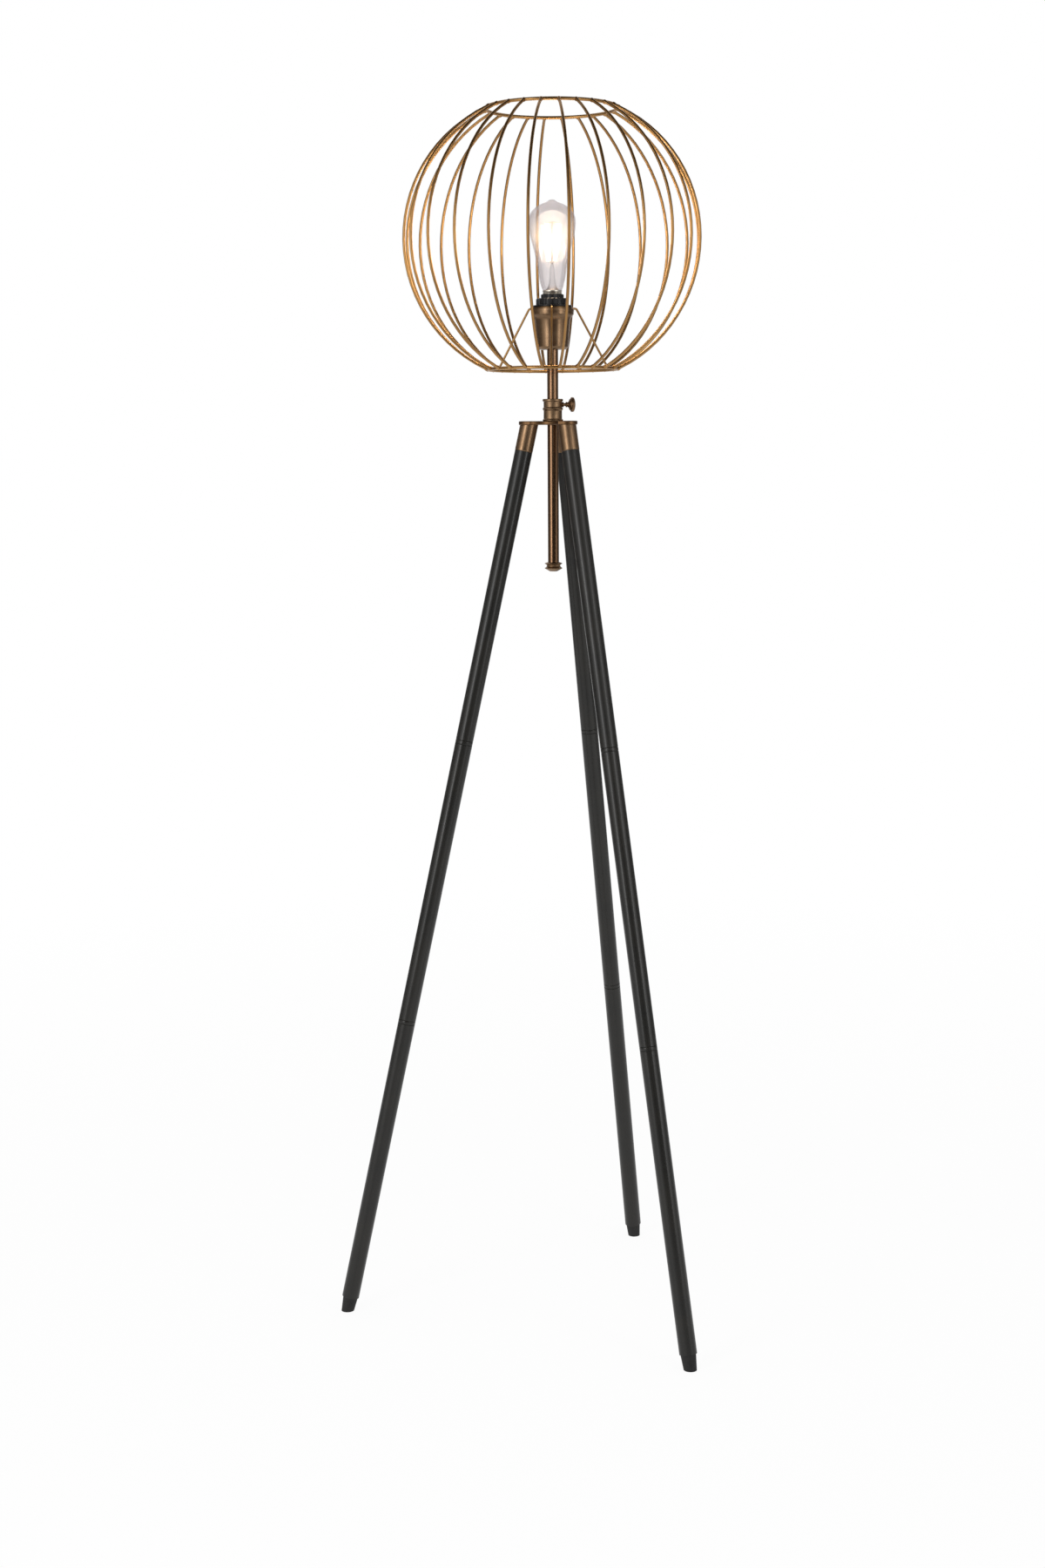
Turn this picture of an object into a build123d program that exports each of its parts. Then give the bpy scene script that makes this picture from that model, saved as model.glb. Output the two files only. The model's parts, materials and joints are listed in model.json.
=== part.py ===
from build123d import *
from math import asin, atan2, cos, degrees, hypot, radians, sin, tan
import os

# Wire cage floor lamp. A tripod carries a clamped pole, and the pole carries a lampholder, a bulb
# and a round cage of bent wire. Millimetres, +Z up, origin on the floor under the pole's axis.

os.makedirs("parts", exist_ok=True)

# ---- Clearances ----
running_fit = 0.05       # radial, between a shaft and the hole it turns or slides in
thread_fit = 0.05        # radial, on threads, which are drawn as plain cylinders
contact_gap = 0.2        # between two pieces that press on each other and can come apart

# ---- Stand ----
leg_count = 3
leg_azimuth = 180.0          # direction of the first leg
plate_underside = 1241.0     # height of the spider plate's lower face
plate_thickness = 5.0
plate_edge_chamfer = 0.7
leg_circle_radius = 32.3     # leg axes at the plate's lower face
foot_circle_radius = 299.0   # leg axes at the floor
lobe_radius = 14.0
waist_radius = 18.0          # from the pole's axis to the plate's scalloped edge

# ---- Legs: three equal screwed sections with flush couplers ----
leg_radius = 12.0
leg_wall = 1.2
ferrule_radius = 12.15
ferrule_length = 36.0
coupler_length = 6.0
coupler_spigot = 18.0        # how far a coupler, ferrule or foot reaches into a tube
middle_length = 394.8
upper_length = 400.8
foot_top_radius = 10.5
foot_tip_radius = 8.8
foot_length = 21.0           # along the leg, from the lower tube to the floor
leg_screw_radius = 3.0
leg_screw_head_radius = 6.0
leg_screw_length = 16.0
leg_screw_socket_flats = 4.0
leg_screw_socket_depth = 2.4

# ---- Hub collar and thumbscrew ----
collar_height = 29.5
collar_radius = 12.5
collar_bead_radius = 13.9
collar_rim_height = 3.2
collar_bead_height = 2.8
collar_bead_top = 17.6       # height of the middle bead's top above the plate
collar_foot_height = 2.5
collar_spigot_radius = 9.5
thumbscrew_drop = 7.6        # its axis below the collar's top
thumbscrew_radius = 3.0
thumbscrew_bead_radius = 3.6
thumbscrew_neck_radius = 2.05
thumbscrew_bead_length = 2.4
thumbscrew_neck_length = 2.4
knob_radius = 9.8
knob_step_radius = 7.2
knob_step_length = 2.4
knob_flare_length = 2.2
knob_rim_length = 3.4
knob_dome_height = 2.6
pad_radius = 2.6
pad_length = 2.4
pad_nose_radius = 1.5
pad_nose_length = 1.5

# ---- Pole ----
pole_radius = 7.5
pole_wall = 1.2
pole_length = 285.0
pole_exposed = 65.5          # between the collar and the lampholder's cup, as it is set
pole_bush_length = 15.0
cap_rim_radius = 12.1
cap_neck_radius = 9.2
cap_tip_radius = 5.2
cap_bore_radius = 4.2
cap_rim_drop = 1.4           # from the cap's top face down to its upper rim
cap_lower_rim_drop = 7.9
cap_rim_land = 0.6
cap_length = 12.3
cap_spigot_length = 12.0
nipple_radius = 5.0
nipple_bore_radius = 3.5
nipple_length = 25.0
nut_flats = 14.0
nut_height = 4.0

# ---- Lampholder ----
cup_height = 53.0
cup_wall = 1.2
cup_bottom_radius = 18.6
cup_corner_radius = 21.5
cup_corner_height = 3.4
cup_body_radius = 23.9
cup_flare_radius = 25.3
cup_band_radius = 28.4
cup_body_height = 38.5
cup_lip_radius = 29.2
cup_lip_height = 7.5
holder_base_height = 20.0
holder_base_floor = 4.0
holder_radius = 19.3
holder_base_wall = 2.1
skirt_height = 47.2
skirt_collar_radius = 15.4
skirt_collar_height = 5.6
skirt_rib_count = 20
skirt_rib_notch = 0.7
shell_height = 19.0
shell_wall = 0.5
block_height = 21.5
block_flange_height = 3.0
block_flange_overlap = 0.5
terminal_radius = 1.6
terminal_head_radius = 2.8
terminal_head_height = 2.4
terminal_spacing = 16.0
leaf_thickness = 0.6
leaf_width = 5.0
leaf_reach = 9.0
shade_ring_flange_radius = 26.5
shade_ring_flange_height = 2.5
shade_ring_radius = 22.0
shade_ring_height = 11.6
grip_count = 24
grip_notch = 1.0

# ---- Bulb with a 27 mm screw cap ----
dome_steps = 4               # bands that a turned dome is drawn with
cap_shell_radius = 13.2
cap_shell_height = 22.0
cap_insulator_height = 4.5
cap_insulator_radius = 9.0
contact_radius = 4.5
contact_height = 1.5
bulb_radius = 32.0
bulb_seat = 3.0              # how far the glass reaches into the cap
bulb_shoulder_radius = 14.5
bulb_shoulder_height = 3.5   # heights above the cap's rim
bulb_waist_radius = 20.6
bulb_waist_height = 36.5
bulb_flank_radius = 27.8
bulb_flank_height = 64.5
bulb_upper_radius = 30.9
bulb_upper_height = 77.0
bulb_widest = 90.0
bulb_wall = 0.9
tip_radius = 6.0
tip_height = 3.0
stem_height = 38.0
stem_flare_height = 11.0
stem_waist_radius = 4.6
stem_rod_radius = 2.2
filament_count = 4
filament_radius = 1.0
filament_length = 48.0
filament_foot_radius = 5.0
filament_head_radius = 11.0
lead_radius = 0.4

# ---- Cage ----
rib_wire_radius = 1.9
ring_wire_radius = 2.0
wire_sides = 6
cage_diameter = 400.0        # over the ribs at their widest
cage_opening_radius = 87.5   # centreline of the rings
cage_half_height = 170.0     # from the widest level to a ring's centre
rib_count = 24
gimbal_drop = 79.0           # from the cup's lip down to the lower ring's centre
gimbal_arm_count = 3
gimbal_azimuth = 22.5
gimbal_wire_radius = 1.5
gimbal_bend_radius = 36.7    # where an arm turns down
fitter_ring_radius = 27.0
fitter_ring_thickness = 2.4

# ---- Heights and lengths that follow ----
plate_top = plate_underside + plate_thickness
collar_top = plate_top + collar_height
thumbscrew_z = collar_top - thumbscrew_drop
pole_top = collar_top + pole_exposed
pole_bottom = pole_top - pole_length
pole_bore = pole_radius - pole_wall
cup_floor = pole_top + cup_wall
base_bottom = cup_floor + nut_height
base_top = base_bottom + holder_base_height
skirt_top = base_top + skirt_height
lip_z = pole_top + cup_height
ring_top = lip_z + fitter_ring_thickness
shell_inner = cap_shell_radius + contact_gap
skirt_bore = shell_inner + shell_wall + thread_fit
block_top = base_top + block_height
contact_z = block_top + 4 * leaf_thickness + 2 * contact_gap + contact_height
cap_bottom = contact_z + cap_insulator_height
cap_rim = cap_bottom + cap_shell_height
bulb_neck_radius = cap_shell_radius - shell_wall - running_fit
lower_ring_z = lip_z - gimbal_drop
cage_centre_z = lower_ring_z + cage_half_height
upper_ring_z = cage_centre_z + cage_half_height
leg_run = foot_circle_radius - leg_circle_radius
leg_lean = atan2(leg_run, plate_underside)
leg_length = hypot(leg_run, plate_underside)
leg_bore = leg_radius - leg_wall


def save(piece, name):
    """Label one finished piece and write it."""
    piece.part.label = name
    export_step(piece.part, f"parts/{name}.step")


def circles(piece, radius):
    """The circular edges of one radius on a piece."""
    return piece.edges().filter_by(lambda e: e.geom_type == GeomType.CIRCLE and abs(e.radius - radius) < 0.01)


def leg_plane(index, along):
    """The plane across one leg's axis, a distance along it from the spider plate, facing down it."""
    heading = radians(leg_azimuth + 360 / leg_count * index)
    outward = Vector(cos(heading), sin(heading), 0)
    axis = outward * sin(leg_lean) - Vector(0, 0, cos(leg_lean))
    top = outward * leg_circle_radius + Vector(0, 0, plate_underside)
    return Plane(origin=top + axis * along, x_dir=outward * cos(leg_lean) + Vector(0, 0, sin(leg_lean)), z_dir=axis)


# ==== Hub ====
# The plate's outline is the hull of its lobes, scalloped by circles that are tangent to two lobes.
half_step = radians(180 / leg_count)
lobe_excess = lobe_radius - waist_radius
scallop_distance = (leg_circle_radius**2 - lobe_excess**2) / (2 * (lobe_excess + leg_circle_radius * cos(half_step)))
scallop_radius = scallop_distance - waist_radius

with BuildPart() as spider_plate:
    with BuildSketch(Plane.XY.offset(plate_underside)):
        with PolarLocations(leg_circle_radius, leg_count, start_angle=leg_azimuth):
            Circle(lobe_radius)
        make_hull()
        with PolarLocations(scallop_distance, leg_count, start_angle=leg_azimuth + 180 / leg_count):
            Circle(scallop_radius, mode=Mode.SUBTRACT)
    extrude(amount=plate_thickness)
    chamfer(spider_plate.edges().filter_by(Plane.XY), length=plate_edge_chamfer)
    with BuildSketch(Plane.XY.offset(plate_underside)):
        Circle(collar_spigot_radius + thread_fit)
    extrude(amount=plate_thickness, mode=Mode.SUBTRACT)
    with Locations(Plane.XY.offset(plate_top)):
        with PolarLocations(leg_circle_radius, leg_count, start_angle=leg_azimuth):
            CounterSinkHole(
                radius=leg_screw_radius + thread_fit,
                counter_sink_radius=leg_screw_head_radius,
                counter_sink_angle=90,
                depth=plate_thickness,
            )
save(spider_plate, "spider_plate")

with BuildPart() as leg_screws:
    with BuildSketch(Plane.XZ) as screw_profile:
        with BuildLine():
            Polyline(
                (0, plate_top),
                (leg_screw_head_radius, plate_top),
                (leg_screw_radius, plate_top - (leg_screw_head_radius - leg_screw_radius)),
                (leg_screw_radius, plate_top - leg_screw_length),
                (0, plate_top - leg_screw_length),
                close=True,
            )
        make_face()
    revolve(axis=Axis.Z)
    with BuildSketch(Plane.XY.offset(plate_top)):
        RegularPolygon(leg_screw_socket_flats / 2, 6, major_radius=False)
    extrude(amount=-leg_screw_socket_depth, mode=Mode.SUBTRACT)
    screw = leg_screws.part
with BuildPart() as leg_screws:
    with PolarLocations(leg_circle_radius, leg_count, start_angle=leg_azimuth):
        add(screw)
save(leg_screws, "leg_screws")

with BuildPart() as hub_collar:
    with BuildSketch(Plane.XY.offset(plate_top)):
        Circle(collar_radius)
    extrude(amount=collar_height)
    bead_bases = {
        plate_top: collar_foot_height,
        plate_top + collar_bead_top - collar_bead_height: collar_bead_height,
        collar_top - collar_rim_height: collar_rim_height,
    }
    for bead_z, bead_height in bead_bases.items():
        with BuildSketch(Plane.XY.offset(bead_z)):
            Circle(collar_bead_radius)
        extrude(amount=bead_height)
    bead_chamfer = 0.3 * min(collar_foot_height, collar_bead_height, collar_rim_height)
    chamfer(circles(hub_collar, collar_bead_radius), length=bead_chamfer)
    with BuildSketch(Plane.XY.offset(plate_underside)):
        Circle(collar_spigot_radius)
    extrude(amount=plate_thickness)
    with BuildSketch(Plane.XY.offset(plate_underside)):
        Circle(pole_radius + running_fit)
    extrude(amount=plate_thickness + collar_height, mode=Mode.SUBTRACT)
    with BuildSketch(Plane.YZ):
        with Locations((0, thumbscrew_z)):
            Circle(thumbscrew_radius + running_fit)
    extrude(amount=2 * collar_radius, mode=Mode.SUBTRACT)
save(hub_collar, "hub_collar")

# The pad slides in the collar's tapped hole, and its saddle follows the pole.
saddle_radius = pole_radius + contact_gap
pad_outer = saddle_radius + pad_length
with BuildPart() as clamp_pad:
    with BuildSketch(Plane.YZ):
        with Locations((0, thumbscrew_z)):
            Circle(pad_radius)
    extrude(amount=pad_outer)
    with BuildSketch(Plane.XY.offset(thumbscrew_z - knob_radius)):
        Circle(saddle_radius)
    extrude(amount=2 * knob_radius, mode=Mode.SUBTRACT)
    with BuildSketch(Plane.YZ.offset(pad_outer)):
        with Locations((0, thumbscrew_z)):
            Circle(pad_nose_radius + running_fit)
    extrude(amount=-pad_nose_length - running_fit, mode=Mode.SUBTRACT)
save(clamp_pad, "clamp_pad")

# The thumbscrew, turned about the X axis: nose, thread, two beads with a neck, dished knob.
shank_start = pad_outer + running_fit
first_bead = collar_radius + running_fit
second_bead = first_bead + thumbscrew_bead_length + thumbscrew_neck_length
flare_start = second_bead + thumbscrew_bead_length
flare_step = flare_start + knob_step_length
rim_start = flare_step + knob_flare_length
rim_end = rim_start + knob_rim_length
knob_end = rim_end + knob_dome_height


def bead(start):
    """Half a turned bead, as points in the XZ plane from one foot to the other."""
    foot_height = thumbscrew_z + thumbscrew_neck_radius
    crest_height = thumbscrew_z + thumbscrew_bead_radius
    corner = thumbscrew_bead_length / 4
    return [
        (start, foot_height),
        (start + corner, crest_height),
        (start + thumbscrew_bead_length - corner, crest_height),
        (start + thumbscrew_bead_length, foot_height),
    ]


with BuildPart() as thumbscrew:
    with BuildSketch(Plane.XZ):
        with BuildLine():
            z = thumbscrew_z
            Polyline(
                (knob_end, z),
                (shank_start - pad_nose_length, z),
                (shank_start - pad_nose_length, z + pad_nose_radius),
                (shank_start, z + pad_nose_radius),
                (shank_start, z + thumbscrew_radius),
                (first_bead, z + thumbscrew_radius),
                *bead(first_bead),
                *bead(second_bead),
                (flare_step, z + knob_step_radius),
                (flare_step + knob_step_length / 4, z + knob_step_radius),
                (rim_start, z + knob_radius),
                (rim_end, z + knob_radius),
                (knob_end - 0.3 * knob_dome_height, z + 0.5 * knob_radius),
                close=True,
            )
        make_face()
    revolve(axis=Axis((0, 0, thumbscrew_z), (1, 0, 0)))
save(thumbscrew, "thumbscrew")

# ==== Legs ====
for leg in range(leg_count):
    name = f"leg_{leg + 1}_"
    # Where each section starts, measured along the leg from the plate.
    upper_start = ferrule_length
    coupler_one = upper_start + upper_length
    middle_start = coupler_one + coupler_length
    coupler_two = middle_start + middle_length
    lower_start = coupler_two + coupler_length
    foot_start = leg_length - foot_length

    # The ferrule's top is cut level to sit flat on the plate, and takes an upright screw.
    with BuildPart() as ferrule:
        with BuildSketch(leg_plane(leg, -ferrule_radius)):
            Circle(ferrule_radius)
        extrude(amount=ferrule_radius + ferrule_length)
        with BuildSketch(leg_plane(leg, ferrule_length)):
            Circle(leg_bore - thread_fit)
        extrude(amount=coupler_spigot)
        split(bisect_by=Plane.XY.offset(plate_underside), keep=Keep.BOTTOM)
        with BuildSketch(Plane.XY.offset(plate_underside)):
            with Locations(leg_plane(leg, 0).origin):
                Circle(leg_screw_radius + thread_fit)
        extrude(amount=-leg_screw_length, mode=Mode.SUBTRACT)
    save(ferrule, name + "ferrule")

    sections = {
        "upper_tube": (upper_start, coupler_one),
        "middle_tube": (middle_start, coupler_two),
        "lower_tube": (lower_start, foot_start),
    }
    for section, (start, end) in sections.items():
        with BuildPart() as tube:
            with BuildSketch(leg_plane(leg, start)):
                Circle(leg_radius)
                Circle(leg_bore, mode=Mode.SUBTRACT)
            extrude(amount=end - start)
        save(tube, name + section)

    for coupler_name, start in {"upper_coupler": coupler_one, "lower_coupler": coupler_two}.items():
        with BuildPart() as coupler:
            with BuildSketch(leg_plane(leg, start - coupler_spigot)):
                Circle(leg_bore - thread_fit)
            extrude(amount=2 * coupler_spigot + coupler_length)
            with BuildSketch(leg_plane(leg, start)):
                Circle(leg_radius)
            extrude(amount=coupler_length)
        save(coupler, name + coupler_name)

    # The foot is a turned plug, cut level where it stands on the floor.
    foot_taper = (foot_top_radius - foot_tip_radius) / foot_length
    foot_overrun = 2 * foot_top_radius * tan(leg_lean)
    with BuildPart() as foot:
        with Locations(leg_plane(leg, foot_start)):
            Cone(
                foot_top_radius,
                foot_tip_radius - foot_taper * foot_overrun,
                foot_length + foot_overrun,
                align=(Align.CENTER, Align.CENTER, Align.MIN),
            )
        split(bisect_by=Plane.XY, keep=Keep.TOP)
        with BuildSketch(leg_plane(leg, foot_start - coupler_spigot)):
            Circle(leg_bore - thread_fit)
        extrude(amount=coupler_spigot)
    save(foot, name + "foot")

# ==== Pole ====
with BuildPart() as pole:
    with BuildSketch(Plane.XY.offset(pole_bottom)):
        Circle(pole_radius)
        Circle(pole_bore, mode=Mode.SUBTRACT)
    extrude(amount=pole_length)
save(pole, "pole")

with BuildPart() as pole_top_bush:
    with BuildSketch(Plane.XY.offset(pole_top - pole_bush_length)):
        Circle(pole_bore)
        Circle(nipple_radius + thread_fit, mode=Mode.SUBTRACT)
    extrude(amount=pole_bush_length)
save(pole_top_bush, "pole_top_bush")

# The end cap, turned: two narrow rims with a hollow neck between, then a cone to the cable hole.
with BuildPart() as pole_end_cap:
    with BuildSketch(Plane.XZ):
        with BuildLine():
            z = pole_bottom
            rim_z = z - cap_rim_drop
            lower_rim_z = z - cap_lower_rim_drop
            neck_flank = cap_rim_radius - cap_neck_radius
            Polyline(
                (cap_rim_radius, lower_rim_z),
                (cap_neck_radius, lower_rim_z + 0.8 * neck_flank),
                (cap_neck_radius, rim_z - cap_rim_land - 0.4 * neck_flank),
                (cap_rim_radius, rim_z - cap_rim_land),
                (cap_rim_radius, rim_z),
                (pole_radius, z),
                (pole_bore - running_fit, z),
                (pole_bore - running_fit, z + cap_spigot_length),
                (cap_bore_radius, z + cap_spigot_length),
                (cap_bore_radius, z - cap_length),
                (cap_tip_radius, z - cap_length),
                (cap_rim_radius, lower_rim_z - cap_rim_land),
                close=True,
            )
        make_face()
    revolve(axis=Axis.Z)
save(pole_end_cap, "pole_end_cap")

with BuildPart() as threaded_nipple:
    with BuildSketch(Plane.XY.offset(cup_floor + nut_height + holder_base_floor - nipple_length)):
        Circle(nipple_radius)
        Circle(nipple_bore_radius, mode=Mode.SUBTRACT)
    extrude(amount=nipple_length)
save(threaded_nipple, "threaded_nipple")

with BuildPart() as nipple_lock_nut:
    with BuildSketch(Plane.XY.offset(cup_floor)):
        RegularPolygon(nut_flats / 2, 6, major_radius=False)
        Circle(nipple_radius + thread_fit, mode=Mode.SUBTRACT)
    extrude(amount=nut_height)
save(nipple_lock_nut, "nipple_lock_nut")

# ==== Lampholder ====
# The cup is one turned shell: straight tapered body, hollow flare, upright lip.
with BuildPart() as lampholder_cup:
    with BuildSketch(Plane.XZ):
        with BuildLine():
            flare_top = lip_z - cup_lip_height
            body_top = pole_top + cup_body_height
            cup_rings = [
                (cup_corner_radius, pole_top + cup_corner_height),
                (cup_body_radius, body_top),
                (cup_flare_radius, (flare_top + body_top) / 2),
                (cup_band_radius, flare_top),
                (cup_lip_radius, lip_z),
            ]
            Polyline(
                (0, pole_top),
                (cup_bottom_radius, pole_top),
                *cup_rings,
                *[(radius - cup_wall, z) for radius, z in reversed(cup_rings)],
                (cup_bottom_radius - cup_wall, cup_floor),
                (0, cup_floor),
                close=True,
            )
        make_face()
    revolve(axis=Axis.Z)
    with BuildSketch(Plane.XY.offset(pole_top)):
        Circle(nipple_radius + thread_fit)
    extrude(amount=cup_wall, mode=Mode.SUBTRACT)
save(lampholder_cup, "lampholder_cup")

with BuildPart() as lampholder_base:
    with BuildSketch(Plane.XY.offset(base_bottom)):
        Circle(holder_radius)
        Circle(nipple_radius + thread_fit, mode=Mode.SUBTRACT)
    extrude(amount=holder_base_height)
    with BuildSketch(Plane.XY.offset(base_bottom + holder_base_floor)):
        Circle(holder_radius - holder_base_wall)
    extrude(amount=holder_base_height, mode=Mode.SUBTRACT)
save(lampholder_base, "lampholder_base")

# The contact block's flange is trapped between the base's rim and a step in the skirt.
block_flange_radius = holder_radius - holder_base_wall + block_flange_overlap
block_radius = skirt_bore - thread_fit
terminal_depth = block_flange_height + terminal_radius
with BuildPart() as contact_block:
    with BuildSketch(Plane.XY.offset(base_top)):
        Circle(block_flange_radius)
    extrude(amount=block_flange_height)
    with BuildSketch(Plane.XY.offset(base_top)):
        Circle(block_radius)
    extrude(amount=block_height)
    with BuildSketch(Plane.XY.offset(base_top)):
        with GridLocations(terminal_spacing, 0, 2, 1):
            Circle(terminal_radius + thread_fit)
    extrude(amount=terminal_depth, mode=Mode.SUBTRACT)
save(contact_block, "contact_block")

with BuildPart() as terminal_screws:
    for radius, height in ((terminal_radius, terminal_depth), (terminal_head_radius, -terminal_head_height)):
        with BuildSketch(Plane.XY.offset(base_top)):
            with GridLocations(terminal_spacing, 0, 2, 1):
                Circle(radius)
        extrude(amount=height)
save(terminal_screws, "terminal_screws")

with BuildPart() as lampholder_skirt:
    with BuildSketch(Plane.XY.offset(base_top)):
        Circle(holder_radius)
    extrude(amount=skirt_height - skirt_collar_height)
    with BuildSketch(Plane.XY.offset(base_top)):
        Circle(skirt_collar_radius)
    extrude(amount=skirt_height)
    with BuildSketch(Plane.XY.offset(base_top)):
        Circle(skirt_bore)
    extrude(amount=skirt_height, mode=Mode.SUBTRACT)
    with BuildSketch(Plane.XY.offset(base_top)):
        Circle(block_flange_radius + thread_fit)
    extrude(amount=block_flange_height, mode=Mode.SUBTRACT)
    with BuildSketch(Plane.XY.offset(skirt_top)):
        with PolarLocations(skirt_collar_radius, skirt_rib_count):
            RegularPolygon(skirt_rib_notch, 4)
    extrude(amount=-skirt_collar_height, mode=Mode.SUBTRACT)
save(lampholder_skirt, "lampholder_skirt")

with BuildPart() as screw_shell:
    with BuildSketch(Plane.XY.offset(block_top)):
        Circle(shell_inner + shell_wall)
        Circle(shell_inner, mode=Mode.SUBTRACT)
    extrude(amount=shell_height)
save(screw_shell, "screw_shell")

# The centre contact is a bent leaf: a foot on the block, a ramp, and a flat top under the bulb.
leaf_top = contact_z - contact_height - contact_gap
with BuildPart() as centre_contact:
    with BuildSketch(Plane.XZ.offset(-leaf_width / 2)):
        with BuildLine():
            Polyline(
                (-leaf_reach, block_top),
                (-leaf_reach / 2, block_top),
                (-leaf_reach / 4, leaf_top - leaf_thickness),
                (leaf_reach / 4, leaf_top - leaf_thickness),
                (leaf_reach / 4, leaf_top),
                (-leaf_reach / 4 - leaf_thickness / 2, leaf_top),
                (-leaf_reach / 2 - leaf_thickness / 2, block_top + leaf_thickness),
                (-leaf_reach, block_top + leaf_thickness),
                close=True,
            )
        make_face()
    extrude(amount=leaf_width)
save(centre_contact, "centre_contact")

with BuildPart() as shade_ring:
    with BuildSketch(Plane.XY.offset(ring_top)):
        Circle(shade_ring_flange_radius)
    extrude(amount=shade_ring_flange_height)
    chamfer(shade_ring.edges().group_by(Axis.Z)[0], length=0.4 * shade_ring_flange_height)
    with BuildSketch(Plane.XY.offset(ring_top)):
        Circle(shade_ring_radius)
    extrude(amount=shade_ring_height)
    with BuildSketch(Plane.XY.offset(ring_top + shade_ring_flange_height)):
        with PolarLocations(shade_ring_radius, grip_count):
            RegularPolygon(grip_notch, 4)
    extrude(amount=shade_ring_height, mode=Mode.SUBTRACT)
    with BuildSketch(Plane.XY.offset(ring_top)):
        Circle(holder_radius + thread_fit)
    extrude(amount=shade_ring_height, mode=Mode.SUBTRACT)
save(shade_ring, "shade_ring")

# ==== Bulb ====
with BuildPart() as bulb_contact:
    with BuildSketch(Plane.XY.offset(contact_z - contact_height)):
        Circle(contact_radius)
    extrude(amount=contact_height)
    chamfer(bulb_contact.edges().group_by(Axis.Z)[0], length=0.4 * contact_height)
save(bulb_contact, "bulb_contact")

with BuildPart() as bulb_cap_insulator:
    with Locations((0, 0, contact_z + running_fit)):
        Cone(
            contact_radius + contact_gap,
            cap_insulator_radius,
            cap_insulator_height - running_fit,
            align=(Align.CENTER, Align.CENTER, Align.MIN),
        )
save(bulb_cap_insulator, "bulb_cap_insulator")

# The screw cap is a thin cup: a narrow seat over the insulator, then the threaded wall.
with BuildPart() as bulb_cap:
    with Locations((0, 0, cap_bottom)):
        Cone(
            cap_insulator_radius,
            cap_shell_radius,
            cap_shell_radius - cap_insulator_radius,
            align=(Align.CENTER, Align.CENTER, Align.MIN),
        )
    with BuildSketch(Plane.XY.offset(cap_bottom + cap_shell_radius - cap_insulator_radius)):
        Circle(cap_shell_radius)
    extrude(amount=cap_shell_height - cap_shell_radius + cap_insulator_radius)
    offset(amount=-shell_wall, openings=bulb_cap.faces().sort_by(Axis.Z)[-1])
save(bulb_cap, "bulb_cap")


def bulb_outline(inset):
    """The pear-shaped glass from its neck to its tip, as points in the XZ plane, drawn in by an inset."""
    dome_base = cap_rim + bulb_widest
    dome_radius = bulb_radius - inset - tip_radius
    rings = [
        (bulb_neck_radius, cap_rim - bulb_seat),
        (bulb_neck_radius, cap_rim),
        (bulb_shoulder_radius, cap_rim + bulb_shoulder_height),
        (bulb_waist_radius, cap_rim + bulb_waist_height),
        (bulb_flank_radius, cap_rim + bulb_flank_height),
        (bulb_upper_radius, cap_rim + bulb_upper_height),
    ]
    dome_turns = [radians(90 * n / dome_steps) for n in range(dome_steps + 1)]
    dome = [(tip_radius + dome_radius * cos(turn), dome_base + dome_radius * sin(turn)) for turn in dome_turns]
    return [(radius - inset, z) for radius, z in rings] + dome + [(0, dome_base + dome_radius + tip_height)]


with BuildPart() as bulb_glass:
    with BuildSketch(Plane.XZ):
        with BuildLine():
            Polyline(*bulb_outline(0), *reversed(bulb_outline(bulb_wall)), close=True)
        make_face()
    revolve(axis=Axis.Z)
save(bulb_glass, "bulb_glass")

# The glass mount inside: a flared foot that closes the neck, drawn into a thin rod.
stem_base = cap_rim - bulb_seat
stem_foot_radius = bulb_neck_radius - bulb_wall
stem_top = stem_base + stem_height
with BuildPart() as bulb_stem:
    with BuildSketch(Plane.XZ):
        with BuildLine():
            Line((0, stem_top), (0, stem_base))
            Line((0, stem_base), (stem_foot_radius, stem_base))
            Polyline(
                (stem_foot_radius, stem_base),
                (stem_waist_radius, stem_base + stem_flare_height),
                (stem_rod_radius, stem_base + 2 * stem_flare_height),
                (stem_rod_radius, stem_top),
                (0, stem_top),
            )
        make_face()
    revolve(axis=Axis.Z)
save(bulb_stem, "bulb_stem")


def rod_plane(start, end):
    """The plane at one point, facing another, that a straight rod is drawn on."""
    return Plane(origin=start, z_dir=end - start)


# The filaments stand in a ring, leaning outwards, between wires from the stem and a crown wire.
filament_foot_z = stem_top + 4 * filament_radius
filament_rise = (filament_length**2 - (filament_head_radius - filament_foot_radius) ** 2) ** 0.5
stem_tip = Vector(0, 0, stem_top)
crown = Vector(0, 0, filament_foot_z + filament_rise + 3 * filament_radius)
filament_ends = []
for n in range(filament_count):
    turn = radians(360 / filament_count * (n + 0.5))
    heading = Vector(cos(turn), sin(turn), 0)
    foot_point = heading * filament_foot_radius + Vector(0, 0, filament_foot_z)
    head_point = heading * filament_head_radius + Vector(0, 0, filament_foot_z + filament_rise)
    filament_ends.append((foot_point, head_point))

with BuildPart() as bulb_filaments:
    for foot_point, head_point in filament_ends:
        with BuildSketch(rod_plane(foot_point, head_point)):
            RegularPolygon(filament_radius, wire_sides)
        extrude(amount=filament_length)
save(bulb_filaments, "bulb_filaments")

lead_runs = [(stem_tip, crown)]
for foot_point, head_point in filament_ends:
    lead_runs += [(stem_tip, foot_point), (crown, head_point)]
with BuildPart() as bulb_lead_wires:
    for start, end in lead_runs:
        with BuildSketch(rod_plane(start, end)):
            RegularPolygon(lead_radius, wire_sides)
        extrude(amount=(end - start).length)
    add(bulb_filaments.part, mode=Mode.SUBTRACT)
    add(bulb_stem.part, mode=Mode.SUBTRACT)
save(bulb_lead_wires, "bulb_lead_wires")

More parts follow.
